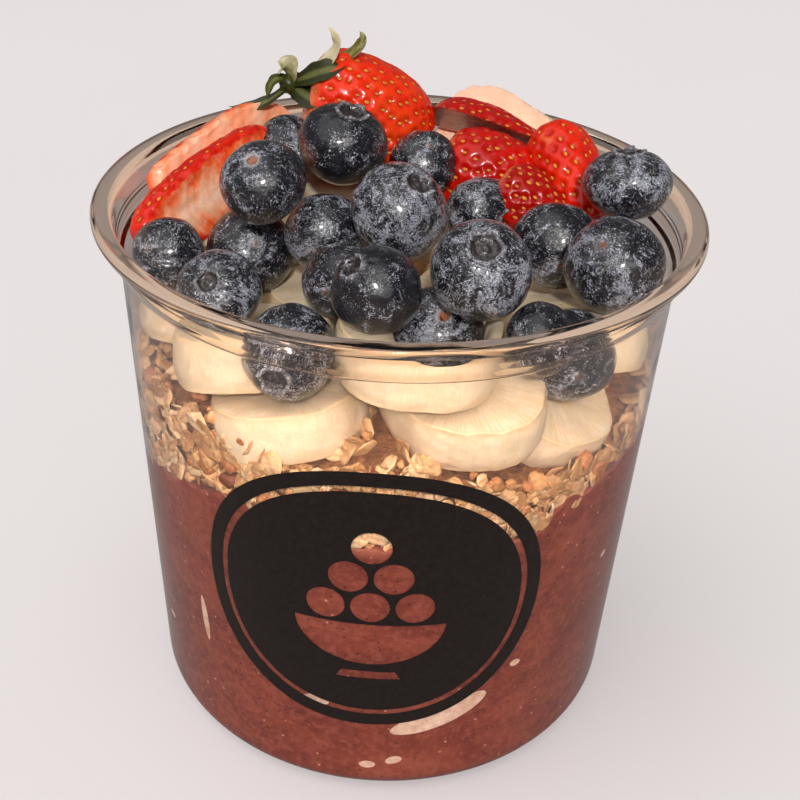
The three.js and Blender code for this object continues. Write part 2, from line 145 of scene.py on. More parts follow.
def mesh_piece(name, V, faces, materials, replaces=(), attrs=None, place=None, face_material=None):
    """A mesh object from points in mm. place is its own frame, which keeps its patterns with it."""
    me = bpy.data.meshes.new(name)
    V = np.asarray(V, float)
    me.vertices.add(len(V))
    me.vertices.foreach_set("co", (V * MM).astype(np.float32).ravel())
    loops = np.concatenate([f.ravel() for f in faces]).astype(np.int32)
    size = np.concatenate([np.full(len(f), f.shape[1]) for f in faces])
    start = np.concatenate([[0], np.cumsum(size)[:-1]]).astype(np.int32)
    me.loops.add(len(loops))
    me.loops.foreach_set("vertex_index", loops)
    me.polygons.add(len(size))
    me.polygons.foreach_set("loop_start", start)
    me.update(calc_edges=True)
    me.polygons.foreach_set("use_smooth", np.ones(len(size), bool))
    for m in materials:
        me.materials.append(m)
    if face_material is not None:
        me.polygons.foreach_set("material_index", np.asarray(face_material, np.int32))
    for key, val in (attrs or {}).items():
        me.attributes.new(key, "FLOAT", "POINT").data.foreach_set("value", np.asarray(val, np.float32))
    me.update()
    ob = bpy.data.objects.new(name, me)
    bpy.context.scene.collection.objects.link(ob)
    if place is not None:
        ob.matrix_world = place
    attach(ob, "root")
    if replaces:
        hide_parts(*replaces)
    return ob


def join(parts):
    """One list of points and faces from many (V, [tris, quads])."""
    Vs, T, Q, n = [], [], [], 0
    for V, (t, q) in parts:
        Vs.append(V)
        T.append(t + n)
        Q.append(q + n)
        n += len(V)
    return np.vstack(Vs), [np.vstack(T), np.vstack(Q)]


def copies(V, faces, mats, at):
    """Many copies of one small skin, each with its own 3x3 matrix and place."""
    n, k = len(at), len(V)
    W = np.einsum("nij,kj->nki", mats, V) + at[:, None, :]
    off = (np.arange(n) * k)[:, None, None]
    return W.reshape(-1, 3), [(f[None] + off).reshape(-1, f.shape[1]) for f in faces]


def turned(axis, normal):
    """Columns x, y, z of a frame with z along axis and y near normal."""
    z = np.array(axis, float)
    z /= np.linalg.norm(z)
    y = np.array(normal, float)
    y -= z * (y @ z)
    y /= np.linalg.norm(y)
    return np.stack([np.cross(y, z), y, z], 1)


def chaikin(points, rounds=3):
    P = np.asarray(points, float)
    for _ in range(rounds):
        Q = np.empty((2 * len(P) - 2, 2))
        Q[0::2] = .75 * P[:-1] + .25 * P[1:]
        Q[1::2] = .25 * P[:-1] + .75 * P[1:]
        P = np.vstack([P[:1], Q, P[-1:]])
    return P


def resample(P, n):
    d = np.concatenate([[0], np.cumsum(np.linalg.norm(np.diff(P, axis=0), axis=1))])
    s = np.linspace(0, d[-1], n)
    return np.stack([np.interp(s, d, P[:, i]) for i in range(P.shape[1])], 1)


def outer_r(z):
    return BASE_R + (NECK_R - BASE_R) * (z - CORNER) / (NECK_Z - CORNER)


ROOM_Z = [CORNER, 102.1, 103.4, 109.8, 110.9, 111.4, 112.5]
ROOM_R = [BASE_R - WALL + INTO_WALL, NECK_R - WALL + INTO_WALL, 54.15, 54.6, 55.4, 56.5, 80.0]


def press(P, soft=0):
    """What is against the cup's wall is pressed flat to it, and reaches just into it."""
    P = np.array(P, float)
    r = np.hypot(P[..., 0], P[..., 1])
    lim = np.interp(P[..., 2], ROOM_Z, ROOM_R)
    if soft:  # a rounded turn into the wall instead of a sharp one
        out = .22 - soft * np.logaddexp(0, (.22 - (r - lim)) / soft) + np.minimum(.01 * np.maximum(r - lim, 0), .12)
        k = np.where(r > lim - 6 * soft, (lim + out) / np.maximum(r, 1e-9), 1.0)
        P[..., 0] *= k
        P[..., 1] *= k
        return P
    far = np.minimum(.02 * (r - lim), .35)  # what is pressed further stays a little further out
    k = np.where(r > lim, (lim + far) / np.maximum(r, 1e-9), 1.0)
    P[..., 0] *= k
    P[..., 1] *= k
    return P


def make_room(P, row):
    """The soft slice gives way in front of and under the berry that rests in it."""
    P = np.array(P, float)
    x, y, z, d, flat = row[:5]
    r = d / 2 + .25
    dx, dy, dz = P[:, 0] - x, P[:, 1] - y, P[:, 2] - z
    ahead = -.8 * dy + .6 * dz
    up = .6 * dy + .8 * dz
    low = -np.sqrt(np.maximum(r * r - dx * dx, 0))
    sink = np.where((np.abs(dx) < r) & (ahead > -2) & (up > low), (low - up) / .8, 0)
    P[:, 2] = np.maximum(P[:, 2] + sink, np.minimum(P[:, 2], 93.2))
    return P


def edge_at(t):
    """Puree edge and granola depth at angle t in radians from the front."""
    E = np.array(EDGES, float)
    d = (np.degrees(t) + 110) % 360 - 110
    i = np.clip(np.searchsorted(E[:, 0], d, "right") - 1, 0, len(E) - 2)
    f = (d - E[i, 0]) / (E[i + 1, 0] - E[i, 0])
    f = f * f * (3 - 2 * f)
    return E[i, 1] * (1 - f) + E[i + 1, 1] * f, E[i, 2] * (1 - f) + E[i + 1, 2] * f


def wave(t, a, b, c):
    return .55 * np.sin(2 * t + a) + .3 * np.sin(3 * t + b) + .25 * np.sin(5 * t + c)


def on_wall(t, z, r):
    return np.stack([r * np.sin(t), -r * np.cos(t), z], -1)


# ---- materials ----
def lin(r, g, b):
    f = lambda c: c / 255 / 12.92 if c / 255 <= .04045 else ((c / 255 + .055) / 1.055) ** 2.4
    return (f(r), f(g), f(b), 1)


class Mat:
    """A node material in short form."""

    def __init__(s, name):
        s.m = bpy.data.materials.new(name)
        s.m.use_nodes = True
        s.t = s.m.node_tree
        s.t.nodes.clear()
        s.out = s.n("OutputMaterial")

    def n(s, kind, ins=None, **props):
        node = s.t.nodes.new("ShaderNode" + kind)
        for k, v in props.items():
            setattr(node, k, v)
        for k, v in (ins or {}).items():
            sock = node.inputs[k]
            if isinstance(v, bpy.types.NodeSocket):
                s.t.links.new(v, sock)
            else:
                sock.default_value = v
        return node

    def coord(s):
        return s.n("TexCoord").outputs["Object"]

    def scaled(s, co, k):
        return s.n("VectorMath", {0: co, 1: k}, operation="MULTIPLY").outputs[0]

    def attr(s, name):
        return s.n("Attribute", attribute_name=name).outputs["Fac"]

    def noise(s, co, scale, detail=3.0, rough=.55, distort=0.0):
        return s.n("TexNoise", {"Vector": co, "Scale": scale, "Detail": detail, "Roughness": rough,
                                "Distortion": distort}).outputs["Fac"]

    def voronoi(s, co, scale, feature="F1", rand=1.0):
        return s.n("TexVoronoi", {"Vector": co, "Scale": scale, "Randomness": rand}, feature=feature)

    def ramp(s, fac, stops, ease="LINEAR"):
        node = s.n("ValToRGB", {0: fac})
        r = node.color_ramp
        r.interpolation = ease
        while len(r.elements) < len(stops):
            r.elements.new(.5)
        for e, (p, c) in zip(r.elements, stops):
            e.position = p
            e.color = c if not isinstance(c, (int, float)) else (c, c, c, 1)
        return node.outputs["Color"]

    def fit(s, fac, a, b, lo=0.0, hi=1.0, smooth=True):
        return s.n("MapRange", {"Value": fac, "From Min": a, "From Max": b, "To Min": lo, "To Max": hi},
                   interpolation_type="SMOOTHSTEP" if smooth else "LINEAR").outputs[0]

    def mix(s, fac, a, b, blend="MIX"):
        node = s.n("Mix", {0: fac, 6: a, 7: b}, data_type="RGBA", blend_type=blend)
        return node.outputs[2]

    def math(s, op, a, b=0.0, clamp=False):
        return s.n("Math", {0: a, 1: b}, operation=op, use_clamp=clamp).outputs[0]

    def bump(s, height, strength, distance, normal=None):
        ins = {"Height": height, "Strength": strength, "Distance": distance}
        if normal is not None:
            ins["Normal"] = normal
        return s.n("Bump", ins).outputs[0]

    def finish(s, ins):
        p = s.n("BsdfPrincipled", ins)
        s.t.links.new(p.outputs[0], s.out.inputs["Surface"])
        s.p = p
        return s.m


def plastic_material():
    s = Mat("clear_plastic")
    co = s.coord()
    painted_warm_reflection = s.attr("painted_warm_reflection")
    wobble = s.noise(co, 55, 2.0)
    # The plastic's warm tint, strongest where the plastic is thick at the rim, the ridge under it and the base ring,
    # is a painted reflection of warm surroundings.
    colour = s.mix(painted_warm_reflection, (.96, .905, .86, 1), (.84, .68, .56, 1))
    p = s.n("BsdfPrincipled", {"Base Color": colour, "Roughness": .035, "IOR": 1.46, "Transmission Weight": 1.0,
                               "Normal": s.bump(wobble, .10, .0012)})
    clear = s.n("BsdfTransparent", {"Color": (.93, .90, .88, 1)})
    shadow = s.n("LightPath").outputs["Is Shadow Ray"]
    m = s.n("MixShader", {0: shadow, 1: p.outputs[0], 2: clear.outputs[0]})
    s.t.links.new(m.outputs[0], s.out.inputs["Surface"])
    return s.m


def print_material():
    s = Mat("cup_print_ink")
    co = s.coord()
    worn = s.noise(co, 900, 4.0, .6)
    return s.finish({
        "Base Color": s.ramp(worn, [(.3, (.0075, .0045, .0035, 1)), (.75, (.016, .010, .008, 1))]),
        "Roughness": s.fit(worn, .3, .7, .30, .42), "Specular IOR Level": .18,
        "Normal": s.bump(worn, .12, .0002)})


def acai_material():
    s = Mat("acai_puree")
    co = s.coord()
    cloud = s.noise(s.scaled(co, (1, 1, 1.7)), 75, 5.0, .6, .7)
    fine = s.noise(co, 620, 5.0, .65)
    base = s.ramp(cloud, [(.30, lin(106, 44, 33)), (.50, lin(124, 55, 41)), (.66, lin(137, 68, 51)), (.85, lin(153, 86, 66))])
    base = s.mix(s.fit(fine, .44, .70, 0, .45), base, lin(160, 92, 73))
    base = s.mix(s.fit(fine, .45, .30, 0, .45), base, lin(88, 38, 30))
    cells = s.voronoi(co, 760)
    pick = s.n("SeparateColor", {0: cells.outputs["Color"]})
    speck = s.math("MULTIPLY", s.fit(cells.outputs["Distance"], .24, .13), s.fit(pick.outputs[0], .60, .64))
    base = s.mix(s.math("MULTIPLY", speck, .8), base, lin(52, 24, 22))
    cells2 = s.voronoi(co, 520)
    pick2 = s.n("SeparateColor", {0: cells2.outputs["Color"]})
    pale = s.math("MULTIPLY", s.fit(cells2.outputs["Distance"], .17, .08), s.fit(pick2.outputs[1], .72, .76))
    base = s.mix(s.math("MULTIPLY", pale, .75), base, lin(214, 166, 148))
    base = s.mix(s.math("MULTIPLY", s.attr("edge"), .55), base, lin(190, 120, 100))
    h = s.math("ADD", s.math("MULTIPLY", cloud, .6), s.math("MULTIPLY", fine, .6))
    return s.finish({
        "Base Color": base, "Roughness": s.fit(fine, .35, .65, .42, .62), "Specular IOR Level": .06,
        "Subsurface Weight": .12, "Subsurface Radius": (.9, .45, .35), "Subsurface Scale": .002,
        "Normal": s.bump(h, .5, .0006)})


def banana_material():
    s = Mat("banana_flesh")
    co = s.coord()
    sep = s.n("SeparateXYZ", {0: co})
    x, y = sep.outputs[0], sep.outputs[1]
    rad = s.n("VectorMath", {0: s.n("CombineXYZ", {0: x, 1: y}).outputs[0]}, operation="LENGTH").outputs["Value"]
    ang = s.math("ARCTAN2", y, x)
    face = s.attr("face")
    cloud = s.noise(co, 150, 4.0, .6)
    fine = s.noise(co, 1100, 4.0, .6)
    # fine lines from the core to the rim, three lobes round the core and small seeds in them
    spokes = s.noise(s.n("CombineXYZ", {0: s.math("MULTIPLY", s.math("COSINE", ang), 7.0),
                                        1: s.math("MULTIPLY", s.math("SINE", ang), 7.0),
                                        2: s.math("MULTIPLY", rad, 60.0)}).outputs[0], 3.0, 3.0, .6)
    lobes = s.math("COSINE", s.math("MULTIPLY", ang, 3.0))
    core_r = s.math("ADD", .0042, s.math("MULTIPLY", lobes, .0011))
    core = s.fit(s.math("SUBTRACT", rad, core_r), .0009, -.0007)
    ring = s.math("MULTIPLY", s.fit(rad, .0100, .0112), s.fit(rad, .0124, .0114))
    base = s.ramp(cloud, [(.3, lin(208, 188, 158)), (.55, lin(222, 204, 177)), (.8, lin(232, 218, 196))])
    base = s.mix(s.fit(fine, .5, .75, 0, .35), base, lin(244, 234, 216))
    line = s.math("MULTIPLY", s.fit(spokes, .50, .66, 0, .8), s.math("MULTIPLY", face, s.fit(rad, .0035, .006)))
    base = s.mix(line, base, lin(212, 184, 144))
    base = s.mix(s.math("MULTIPLY", s.math("MULTIPLY", core, face), .55), base, lin(219, 184, 128))
    base = s.mix(s.math("MULTIPLY", s.math("MULTIPLY", ring, face), .25), base, lin(224, 190, 134))
    cells = s.voronoi(s.scaled(co, (1, 1, .5)), 620)
    seed = s.math("MULTIPLY", s.fit(cells.outputs["Distance"], .30, .18),
                  s.math("MULTIPLY", face, s.math("MULTIPLY", s.fit(rad, .0022, .0028), s.fit(rad, .0052, .0044))))
    base = s.mix(s.math("MULTIPLY", seed, .5), base, lin(120, 84, 44))
    strands = s.noise(s.n("CombineXYZ", {0: s.math("MULTIPLY", ang, 9.0), 1: 0.0,
                                         2: s.math("MULTIPLY", sep.outputs[2], 90.0)}).outputs[0], 2.2, 3.0, .6)
    side = s.math("SUBTRACT", 1.0, face, True)
    base = s.mix(s.math("MULTIPLY", s.fit(strands, .5, .75, 0, .45), side), base, lin(224, 192, 140))
    base = s.mix(s.math("MULTIPLY", s.attr("rim"), .35), base, lin(206, 166, 112))
    h = s.math("ADD", s.math("ADD", s.math("MULTIPLY", cloud, .4), s.math("MULTIPLY", fine, .25)),
               s.math("MULTIPLY", strands, .35))
    return s.finish({
        "Base Color": base, "Roughness": s.fit(fine, .35, .65, .34, .52), "Specular IOR Level": .25,
        "Subsurface Weight": .25, "Subsurface Radius": (1.0, .62, .30), "Subsurface Scale": .003,
        "Normal": s.bump(h, .45, .0006)})


def berry_material():
    s = Mat("blueberry_skin")
    co = s.coord()
    big = s.noise(co, 150, 3.0, .6, 1.6)
    mid = s.noise(co, 430, 8.0, .74, 2.2)
    hair = s.noise(s.scaled(co, (1, 1.6, 1)), 1150, 6.0, .72, 3.0)
    fine = s.noise(co, 3000, 3.0, .6)
    amount = s.attr("bloom")
    m = s.math("ADD", s.math("MULTIPLY", big, .36), s.math("MULTIPLY", mid, .36))
    m = s.math("ADD", m, s.math("MULTIPLY", hair, .36))
    m = s.math("ADD", m, s.math("MULTIPLY", s.math("SUBTRACT", amount, .5), .13))
    mask = s.fit(m, .535, .625)
    dark = s.ramp(mid, [(.35, (.0034, .0034, .0058, 1)), (.7, (.010, .010, .018, 1))])
    grey = s.ramp(hair, [(.34, lin(70, 73, 88)), (.50, lin(140, 143, 158)), (.66, lin(206, 209, 218))])
    base = s.mix(s.math("MULTIPLY", mask, .92), dark, grey)
    fleck = s.math("MULTIPLY", s.fit(hair, .58, .64), s.fit(m, .50, .60))
    base = s.mix(s.math("MULTIPLY", fleck, .85), base, lin(230, 232, 238))
    base = s.mix(s.math("MULTIPLY", s.fit(big, .64, .74), .14), base, lin(52, 26, 30))
    # the brown dried cup of the crown, its pale lip, and the stem scar with its pale ring
    base = s.mix(s.math("MULTIPLY", s.attr("lip"), s.fit(hair, .42, .60, .12, .85)), base, lin(176, 175, 182))
    base = s.mix(s.math("MULTIPLY", s.attr("crown"), .92), base,
                 s.ramp(mid, [(.38, lin(14, 11, 13)), (.52, lin(44, 36, 36)), (.68, lin(100, 88, 84))]))
    base = s.mix(s.math("MULTIPLY", s.attr("ring"), s.fit(hair, .4, .6, .45, .95)), base, lin(186, 184, 190))
    base = s.mix(s.attr("scar"), base, s.ramp(mid, [(.35, lin(92, 50, 28)), (.65, lin(178, 112, 68))]))
    h = s.math("ADD", s.math("MULTIPLY", mid, .6), s.math("MULTIPLY", hair, .35))
    return s.finish({
        "Base Color": base, "Roughness": s.fit(mask, 0.0, 1.0, .13, .42), "Specular IOR Level": .55,
        "Coat Weight": .5, "Coat Roughness": .14,
        "Normal": s.bump(h, .34, .0005)})


def strawberry_material():
    s = Mat("strawberry_fruit")
    co = s.coord()
    sep = s.n("SeparateXYZ", {0: co})
    cloud = s.noise(co, 130, 4.0, .6)
    fine = s.noise(co, 900, 4.0, .6)
    cut, depth, along, ripe, orange = (s.attr(a) for a in ("cut", "depth", "along", "ripe", "orange"))
    tone = s.math("ADD", ripe, s.math("MULTIPLY", s.math("SUBTRACT", cloud, .5), .9))
    skin = s.ramp(s.math("MAXIMUM", tone, 0.0), [(.0, lin(240, 78, 12)), (.35, lin(232, 42, 3)), (.7, lin(206, 16, 1)), (1.0, lin(168, 6, 1))])
    skin = s.mix(s.fit(along, .88, .99, 0, .75), skin, lin(246, 160, 110))
    # Darker red in the pits round the seeds is painted shade.
    skin = s.mix(s.math("MULTIPLY", s.attr("pit"), .5), skin, lin(150, 8, 3))
    skin = s.mix(s.fit(ripe, -.2, -.6), skin, s.ramp(cloud, [(.35, lin(247, 190, 150)), (.6, lin(252, 222, 192))]))
    # the cut face: soft streaks that slant in from the skin, a red rim and a pale middle
    ax = s.math("ABSOLUTE", sep.outputs[0])
    slant = s.math("ADD", sep.outputs[2], s.math("MULTIPLY", ax, -.45))
    bend = s.math("MULTIPLY", s.math("SUBTRACT", cloud, .5), .004)
    streak = s.noise(s.n("CombineXYZ", {0: s.math("MULTIPLY", s.math("ADD", slant, bend), 260.0),
                                        1: s.math("MULTIPLY", ax, 28.0), 2: s.math("MULTIPLY", sep.outputs[0], 3.0)}).outputs[0],
                     1.0, 3.0, .55)
    wide = s.math("ADD", depth, s.math("MULTIPLY", s.math("SUBTRACT", streak, .5), 9.5))
    flesh = s.ramp(s.math("MULTIPLY", wide, .125), [(.0, lin(236, 62, 18)), (.22, lin(244, 108, 54)), (.45, lin(250, 172, 130)),
                                                   (.75, lin(252, 206, 176)), (1.0, lin(250, 216, 192))])
    flesh = s.mix(s.fit(fine, .5, .75, 0, .25), flesh, lin(255, 232, 212))
    flesh = s.mix(s.fit(depth, .9, .15), flesh, lin(222, 28, 6))
    flesh = s.mix(s.math("MULTIPLY", orange, .8), flesh, lin(232, 92, 48))
    pale = s.math("MULTIPLY", s.fit(ripe, -.2, -.6), .75)
    flesh = s.mix(pale, flesh, lin(252, 216, 184))
    base = s.mix(cut, skin, flesh)
    h = s.math("ADD", s.math("MULTIPLY", fine, .5), s.math("MULTIPLY", s.math("MULTIPLY", streak, cut), .9))
    return s.finish({
        "Base Color": base, "Roughness": s.fit(fine, .35, .65, .18, .32),
        "Subsurface Weight": .16, "Subsurface Radius": (1.0, .26, .12), "Subsurface Scale": .002,
        "Specular IOR Level": .3, "Coat Weight": .35, "Coat Roughness": .12,
        "Normal": s.bump(h, .5, .0006)})


def seed_material():
    s = Mat("strawberry_seed")
    co = s.coord()
    return s.finish({
        "Base Color": s.ramp(s.noise(co, 420, 2.0), [(.35, lin(188, 92, 16)), (.6, lin(222, 140, 42))]),
        "Roughness": .38, "Normal": s.bump(s.noise(co, 2600, 2.0), .3, .0002)})


def leaf_material():
    s = Mat("strawberry_leaf")
    co = s.coord()
    tone = s.attr("tone")
    fine = s.noise(co, 700, 4.0, .6, .5)
    vein = s.attr("vein")
    t = s.math("ADD", tone, s.math("MULTIPLY", s.math("SUBTRACT", fine, .5), .5), True)
    base = s.ramp(t, [(.0, lin(26, 31, 3)), (.35, lin(51, 57, 9)), (.65, lin(98, 94, 26)), (1.0, lin(211, 200, 166))])
    base = s.mix(s.math("MULTIPLY", vein, .45), base, lin(180, 183, 111))
    return s.finish({
        "Base Color": base, "Roughness": .38, "Specular IOR Level": .5,
        "Subsurface Weight": .08, "Subsurface Radius": (.5, .8, .2), "Subsurface Scale": .001,
        "Normal": s.bump(fine, .4, .0004)})


def oat_material():
    s = Mat("granola_oats")
    co = s.coord()
    tone = s.attr("tone")
    fine = s.noise(co, 1300, 4.0, .62)
    mid = s.noise(co, 300, 3.0)
    t = s.math("ADD", tone, s.math("MULTIPLY", s.math("SUBTRACT", mid, .5), .6), True)
    base = s.ramp(t, [(.0, lin(128, 82, 44)), (.35, lin(182, 134, 86)), (.7, lin(216, 174, 126)), (1.0, lin(236, 206, 166))])
    base = s.mix(s.fit(fine, .5, .72, 0, .5), base, lin(240, 212, 172))
    base = s.mix(s.fit(fine, .44, .28, 0, .45), base, lin(150, 96, 52))
    base = s.mix(s.math("MULTIPLY", s.attr("crease"), .5), base, lin(138, 84, 44))
    return s.finish({
        "Base Color": base, "Roughness": s.fit(fine, .3, .7, .5, .72),
        "Subsurface Weight": .10, "Subsurface Radius": (1.0, .6, .3), "Subsurface Scale": .0012,
        "Normal": s.bump(fine, .7, .0005)})


def cluster_material():
    s = Mat("granola_clusters")
    co = s.coord()
    fine = s.noise(co, 1000, 5.0, .66)
    tone = s.attr("tone")
    t = s.math("ADD", tone, s.math("MULTIPLY", s.math("SUBTRACT", fine, .5), 1.1), True)
    base = s.ramp(t, [(.0, lin(120, 62, 34)), (.3, lin(176, 112, 66)), (.65, lin(212, 160, 106)), (1.0, lin(236, 196, 148))])
    return s.finish({
        "Base Color": base, "Roughness": .55, "Normal": s.bump(fine, .8, .0006)})


def painted_shade_core_material():
    s = Mat("granola_core_painted_shade")
    co = s.coord()
    fine = s.noise(co, 600, 5.0, .66)
    # Mostly dark browns: painted shade that shows in the gaps between the loose oats and clusters.
    return s.finish({
        "Base Color": s.ramp(fine, [(.3, lin(86, 50, 26)), (.6, lin(160, 106, 62)), (.8, lin(196, 146, 96))]),
        "Roughness": .7, "Normal": s.bump(fine, 1.0, .0012)})


def pale_material():
    s = Mat("pale_bits")
    co = s.coord()
    fine = s.noise(co, 500, 4.0, .6)
    return s.finish({
        "Base Color": s.ramp(fine, [(.35, lin(196, 158, 138)), (.65, lin(226, 198, 178))]),
        "Roughness": .42, "Normal": s.bump(fine, .3, .0003)})


M = {
    "plastic": plastic_material(), "print": print_material(), "acai": acai_material(),
    "banana": banana_material(), "berry": berry_material(), "strawberry": strawberry_material(),
    "seed": seed_material(), "leaf": leaf_material(), "oat": oat_material(), "cluster": cluster_material(),
    "core": painted_shade_core_material(), "pale": pale_material(),
}


# ---- the cup ----
def arc(cx, cz, rx, rz, a0, a1, n):
    a = np.radians(np.linspace(a0, a1, n))
    return [(cx + rx * math.cos(v), cz + rz * math.sin(v)) for v in a]


def make_cup():
    wall_up = [(outer_r(z), z) for z in np.linspace(CORNER + 3, NECK_Z - .6, 26)]
    upper = chaikin([
        (outer_r(NECK_Z - .6), NECK_Z - .6), (NECK_R, NECK_Z), (NECK_R + 1.15, NECK_Z + .75), (NECK_R + 1.35, NECK_Z + 1.6),
        (NECK_R + 1.15, NECK_Z + 2.3), (NECK_R + 1.0, NECK_Z + 3.2), (NECK_R + 1.25, CUP_H - 3.6), (NECK_R + 1.4, CUP_H - 2.5),
        (RIM_R - 1.6, CUP_H - 2.35), (RIM_R - .35, CUP_H - 2.1), (RIM_R + .02, CUP_H - 1.2), (RIM_R - .1, CUP_H - .35),
        (RIM_R - 1.1, CUP_H + .04), (RIM_R - 2.7, CUP_H + .02), (RIM_R - 3.6, CUP_H - .5), (RIM_R - 4.1, CUP_H - 1.7),
        (NECK_R + .35, NECK_Z + 3.4), (NECK_R + .15, NECK_Z + 2.4), (NECK_R + .35, NECK_Z + 1.4), (NECK_R + .1, NECK_Z + .5),
        (NECK_R - WALL, NECK_Z - .3), (outer_r(NECK_Z - 1.2) - WALL, NECK_Z - 1.2)], 3)
    wall_down = [(outer_r(z) - WALL, z) for z in np.linspace(NECK_Z - 1.6, CORNER + 3, 26)]
    prof = ([(r, 0.0) for r in (12, 26, 38, 44)] + arc(BASE_R - CORNER, CORNER, CORNER, CORNER, -90, 0, 12) + wall_up
            + [tuple(p) for p in upper] + wall_down
            + arc(BASE_R - CORNER, CORNER, CORNER - WALL, CORNER - FLOOR, 0, -90, 12) + [(r, FLOOR) for r in (44, 38, 26, 12)])
    prof = np.array(prof)
    keep = np.concatenate([[True], np.linalg.norm(np.diff(prof, axis=0), axis=1) > 1e-4])
    prof = prof[keep]
    t = np.linspace(0, 2 * np.pi, 224, endpoint=False)
    rings = np.stack([np.outer(prof[:, 0], np.sin(t)), -np.outer(prof[:, 0], np.cos(t)),
                      np.repeat(prof[:, 1:], len(t), 1)], -1)
    V, F = ball((0, 0, 0), rings, (0, 0, FLOOR))
    z, r = V[:, 2], np.hypot(V[:, 0], V[:, 1])
    # Where the plastic is thick, at the rim, the ridge under it and the base ring: the mask of the painted warm
    # reflection.
    painted_warm_reflection = np.clip((z - NECK_Z - 2.6) / 4.0, 0, 1) * .9 + .75 * np.exp(-((z - NECK_Z - 1.2) / .9) ** 2)
    painted_warm_reflection = np.maximum(painted_warm_reflection, np.clip((3.2 - z) / 2.0, 0, 1) * .8 * (r > 40))
    mesh_piece("cup_clear", V, F, [M["plastic"]], ["cup"], {"painted_warm_reflection": np.clip(painted_warm_reflection, 0, 1)})


# ---- puree and granola ----
def acai_top(t, f):
    e, _ = edge_at(t)
    return e * f + (1 - f) * 68 + 1.2 * wave(t, 1, 2, 3) * f * (1 - f)


def make_acai():
    t = np.linspace(0, 2 * np.pi, 420, endpoint=False)
    rings = []
    zb = FLOOR - INTO_WALL
    for r in (15, 30, 40):
        rings.append(on_wall(t, 0 * t + zb, 0 * t + r))
    for r, z in arc(BASE_R - CORNER, CORNER, CORNER - WALL + INTO_WALL, CORNER - zb, -90, 0, 9):
        rings.append(on_wall(t, 0 * t + z, 0 * t + r))
    lo = CORNER + .8
    edge, _ = edge_at(t)
    ring = on_wall(t, edge, 0 * t + 50)
    edge = edge + .55 * smooth_noise(ring, 2.6, 3) + .35 * smooth_noise(ring, 1.1, 4)
    k = 90
    for i in range(k + 1):
        z = lo + (edge - lo) * (i / k)
        rings.append(on_wall(t, z, outer_r(z) - WALL + INTO_WALL))
    for f in (.995, .985, .965, .94, .9, .84, .76, .66, .55, .44, .33, .22, .11):
        z = acai_top(t, f)
        P = on_wall(t, z, f * (outer_r(z) - WALL))
        lift = .5 * smooth_noise(P, 5, 5) + .25 * smooth_noise(P, 1.8, 6)
        drop = min(1.0, (1 - f) / .03)
        P[:, 2] = z * drop + edge * (1 - drop) + lift * drop - .25 * (1 - f > .002) + .15 * (f > .98)
        rings.append(P)
    V, F = ball((0, 0, zb), rings, (0, 0, 68))
    r = np.hypot(V[:, 0], V[:, 1])
    side = (V[:, 2] > lo) & (r > outer_r(V[:, 2]) - WALL)
    dent = np.maximum(0, smooth_noise(V, 3.4, 8) - .95) * .5
    ang = np.arctan2(V[:, 0], -V[:, 1])
    e, _ = edge_at(ang)
    near = np.clip(1 - (e - V[:, 2]) / 2.2, 0, 1) * side * np.clip(smooth_noise(V, 6, 9) * .8 + .3, 0, 1)
    V[:, :2] *= (1 - (dent * side * (V[:, 2] < e - 1.5) * .0)[:, None])
    mesh_piece("acai_puree", V, F, [M["acai"]], ["acai"], {"edge": near})


def flake(seed):
    """One rolled oat: a thin bent oval with a crease down its back."""
    g = np.random.default_rng(seed)
    m = 12
    a = np.linspace(0, 2 * np.pi, m, endpoint=False)
    rag = 1 + .07 * np.sin(3 * a + g.uniform(0, 6)) + .05 * np.sin(5 * a + g.uniform(0, 6))
    L, W = 3.3, 2.35
    rings = []
    for f, z in ((.42, .40), (.82, .33), (1.0, .12), (1.0, -.12), (.82, -.33), (.42, -.38)):
        x, y = L * f * rag * np.cos(a), W * f * rag * np.sin(a)
        zz = z + .22 * smooth_noise(np.stack([x, y, 0 * x], 1), 2.2, seed + 11) + .07 * x * x * g.uniform(-.25, .9) * 0 \
            - .055 * y * y + .03 * x * x
        zz = zz - .22 * np.exp(-(y / .45) ** 2) * (z > 0)
        rings.append(np.stack([x, y, zz], 1))
    V, F = ball((0, 0, .2), rings, (0, 0, -.36))
    crease = np.exp(-(V[:, 1] / .42) ** 2) * (V[:, 2] > -.1)
    return V, F, crease


def lump(seed, m=14, rows=8):
    """One small baked cluster."""
    a = np.linspace(0, 2 * np.pi, m, endpoint=False)
    rings = []
    for i in range(1, rows):
        p = np.pi * i / rows
        rings.append(np.stack([np.sin(p) * np.cos(a), np.sin(p) * np.sin(a), 0 * a + np.cos(p)], 1))
    V, F = ball((0, 0, 1), rings, (0, 0, -1))
    V = V * (1 + .20 * smooth_noise(V * 2.2, 1.5, seed) + .10 * smooth_noise(V * 2.2, .6, seed + 1))[:, None]
    return V, F


def turns(n, g, normals, loose):
    """Matrices that lay a flake's z along each normal, give or take, with a random turn about it."""
    d = normals + loose * g.normal(size=(n, 3))
    d /= np.linalg.norm(d, axis=1)[:, None]
    h = g.normal(size=(n, 3))
    x = h - d * np.einsum("ij,ij->i", h, d)[:, None]
    x /= np.linalg.norm(x, axis=1)[:, None]
    return np.stack([x, np.cross(d, x), d], 2)


def band_points(n, g, inward):
    """Places in the granola band against the wall, and the outward directions there."""
    tt = g.uniform(-np.pi, np.pi, n * 6)
    e, dep = edge_at(tt)
    ok = g.uniform(0, 22, n * 6) < dep + 1.5
    tt, e, dep = tt[ok][:n], e[ok][:n], dep[ok][:n]
    z = e + g.uniform(-.02, 1.0, len(tt)) * (dep + .8)
    r = outer_r(z) - WALL - g.uniform(*inward, len(tt))
    return on_wall(tt, z, r), on_wall(tt, 0 * tt, 0 * tt + 1)


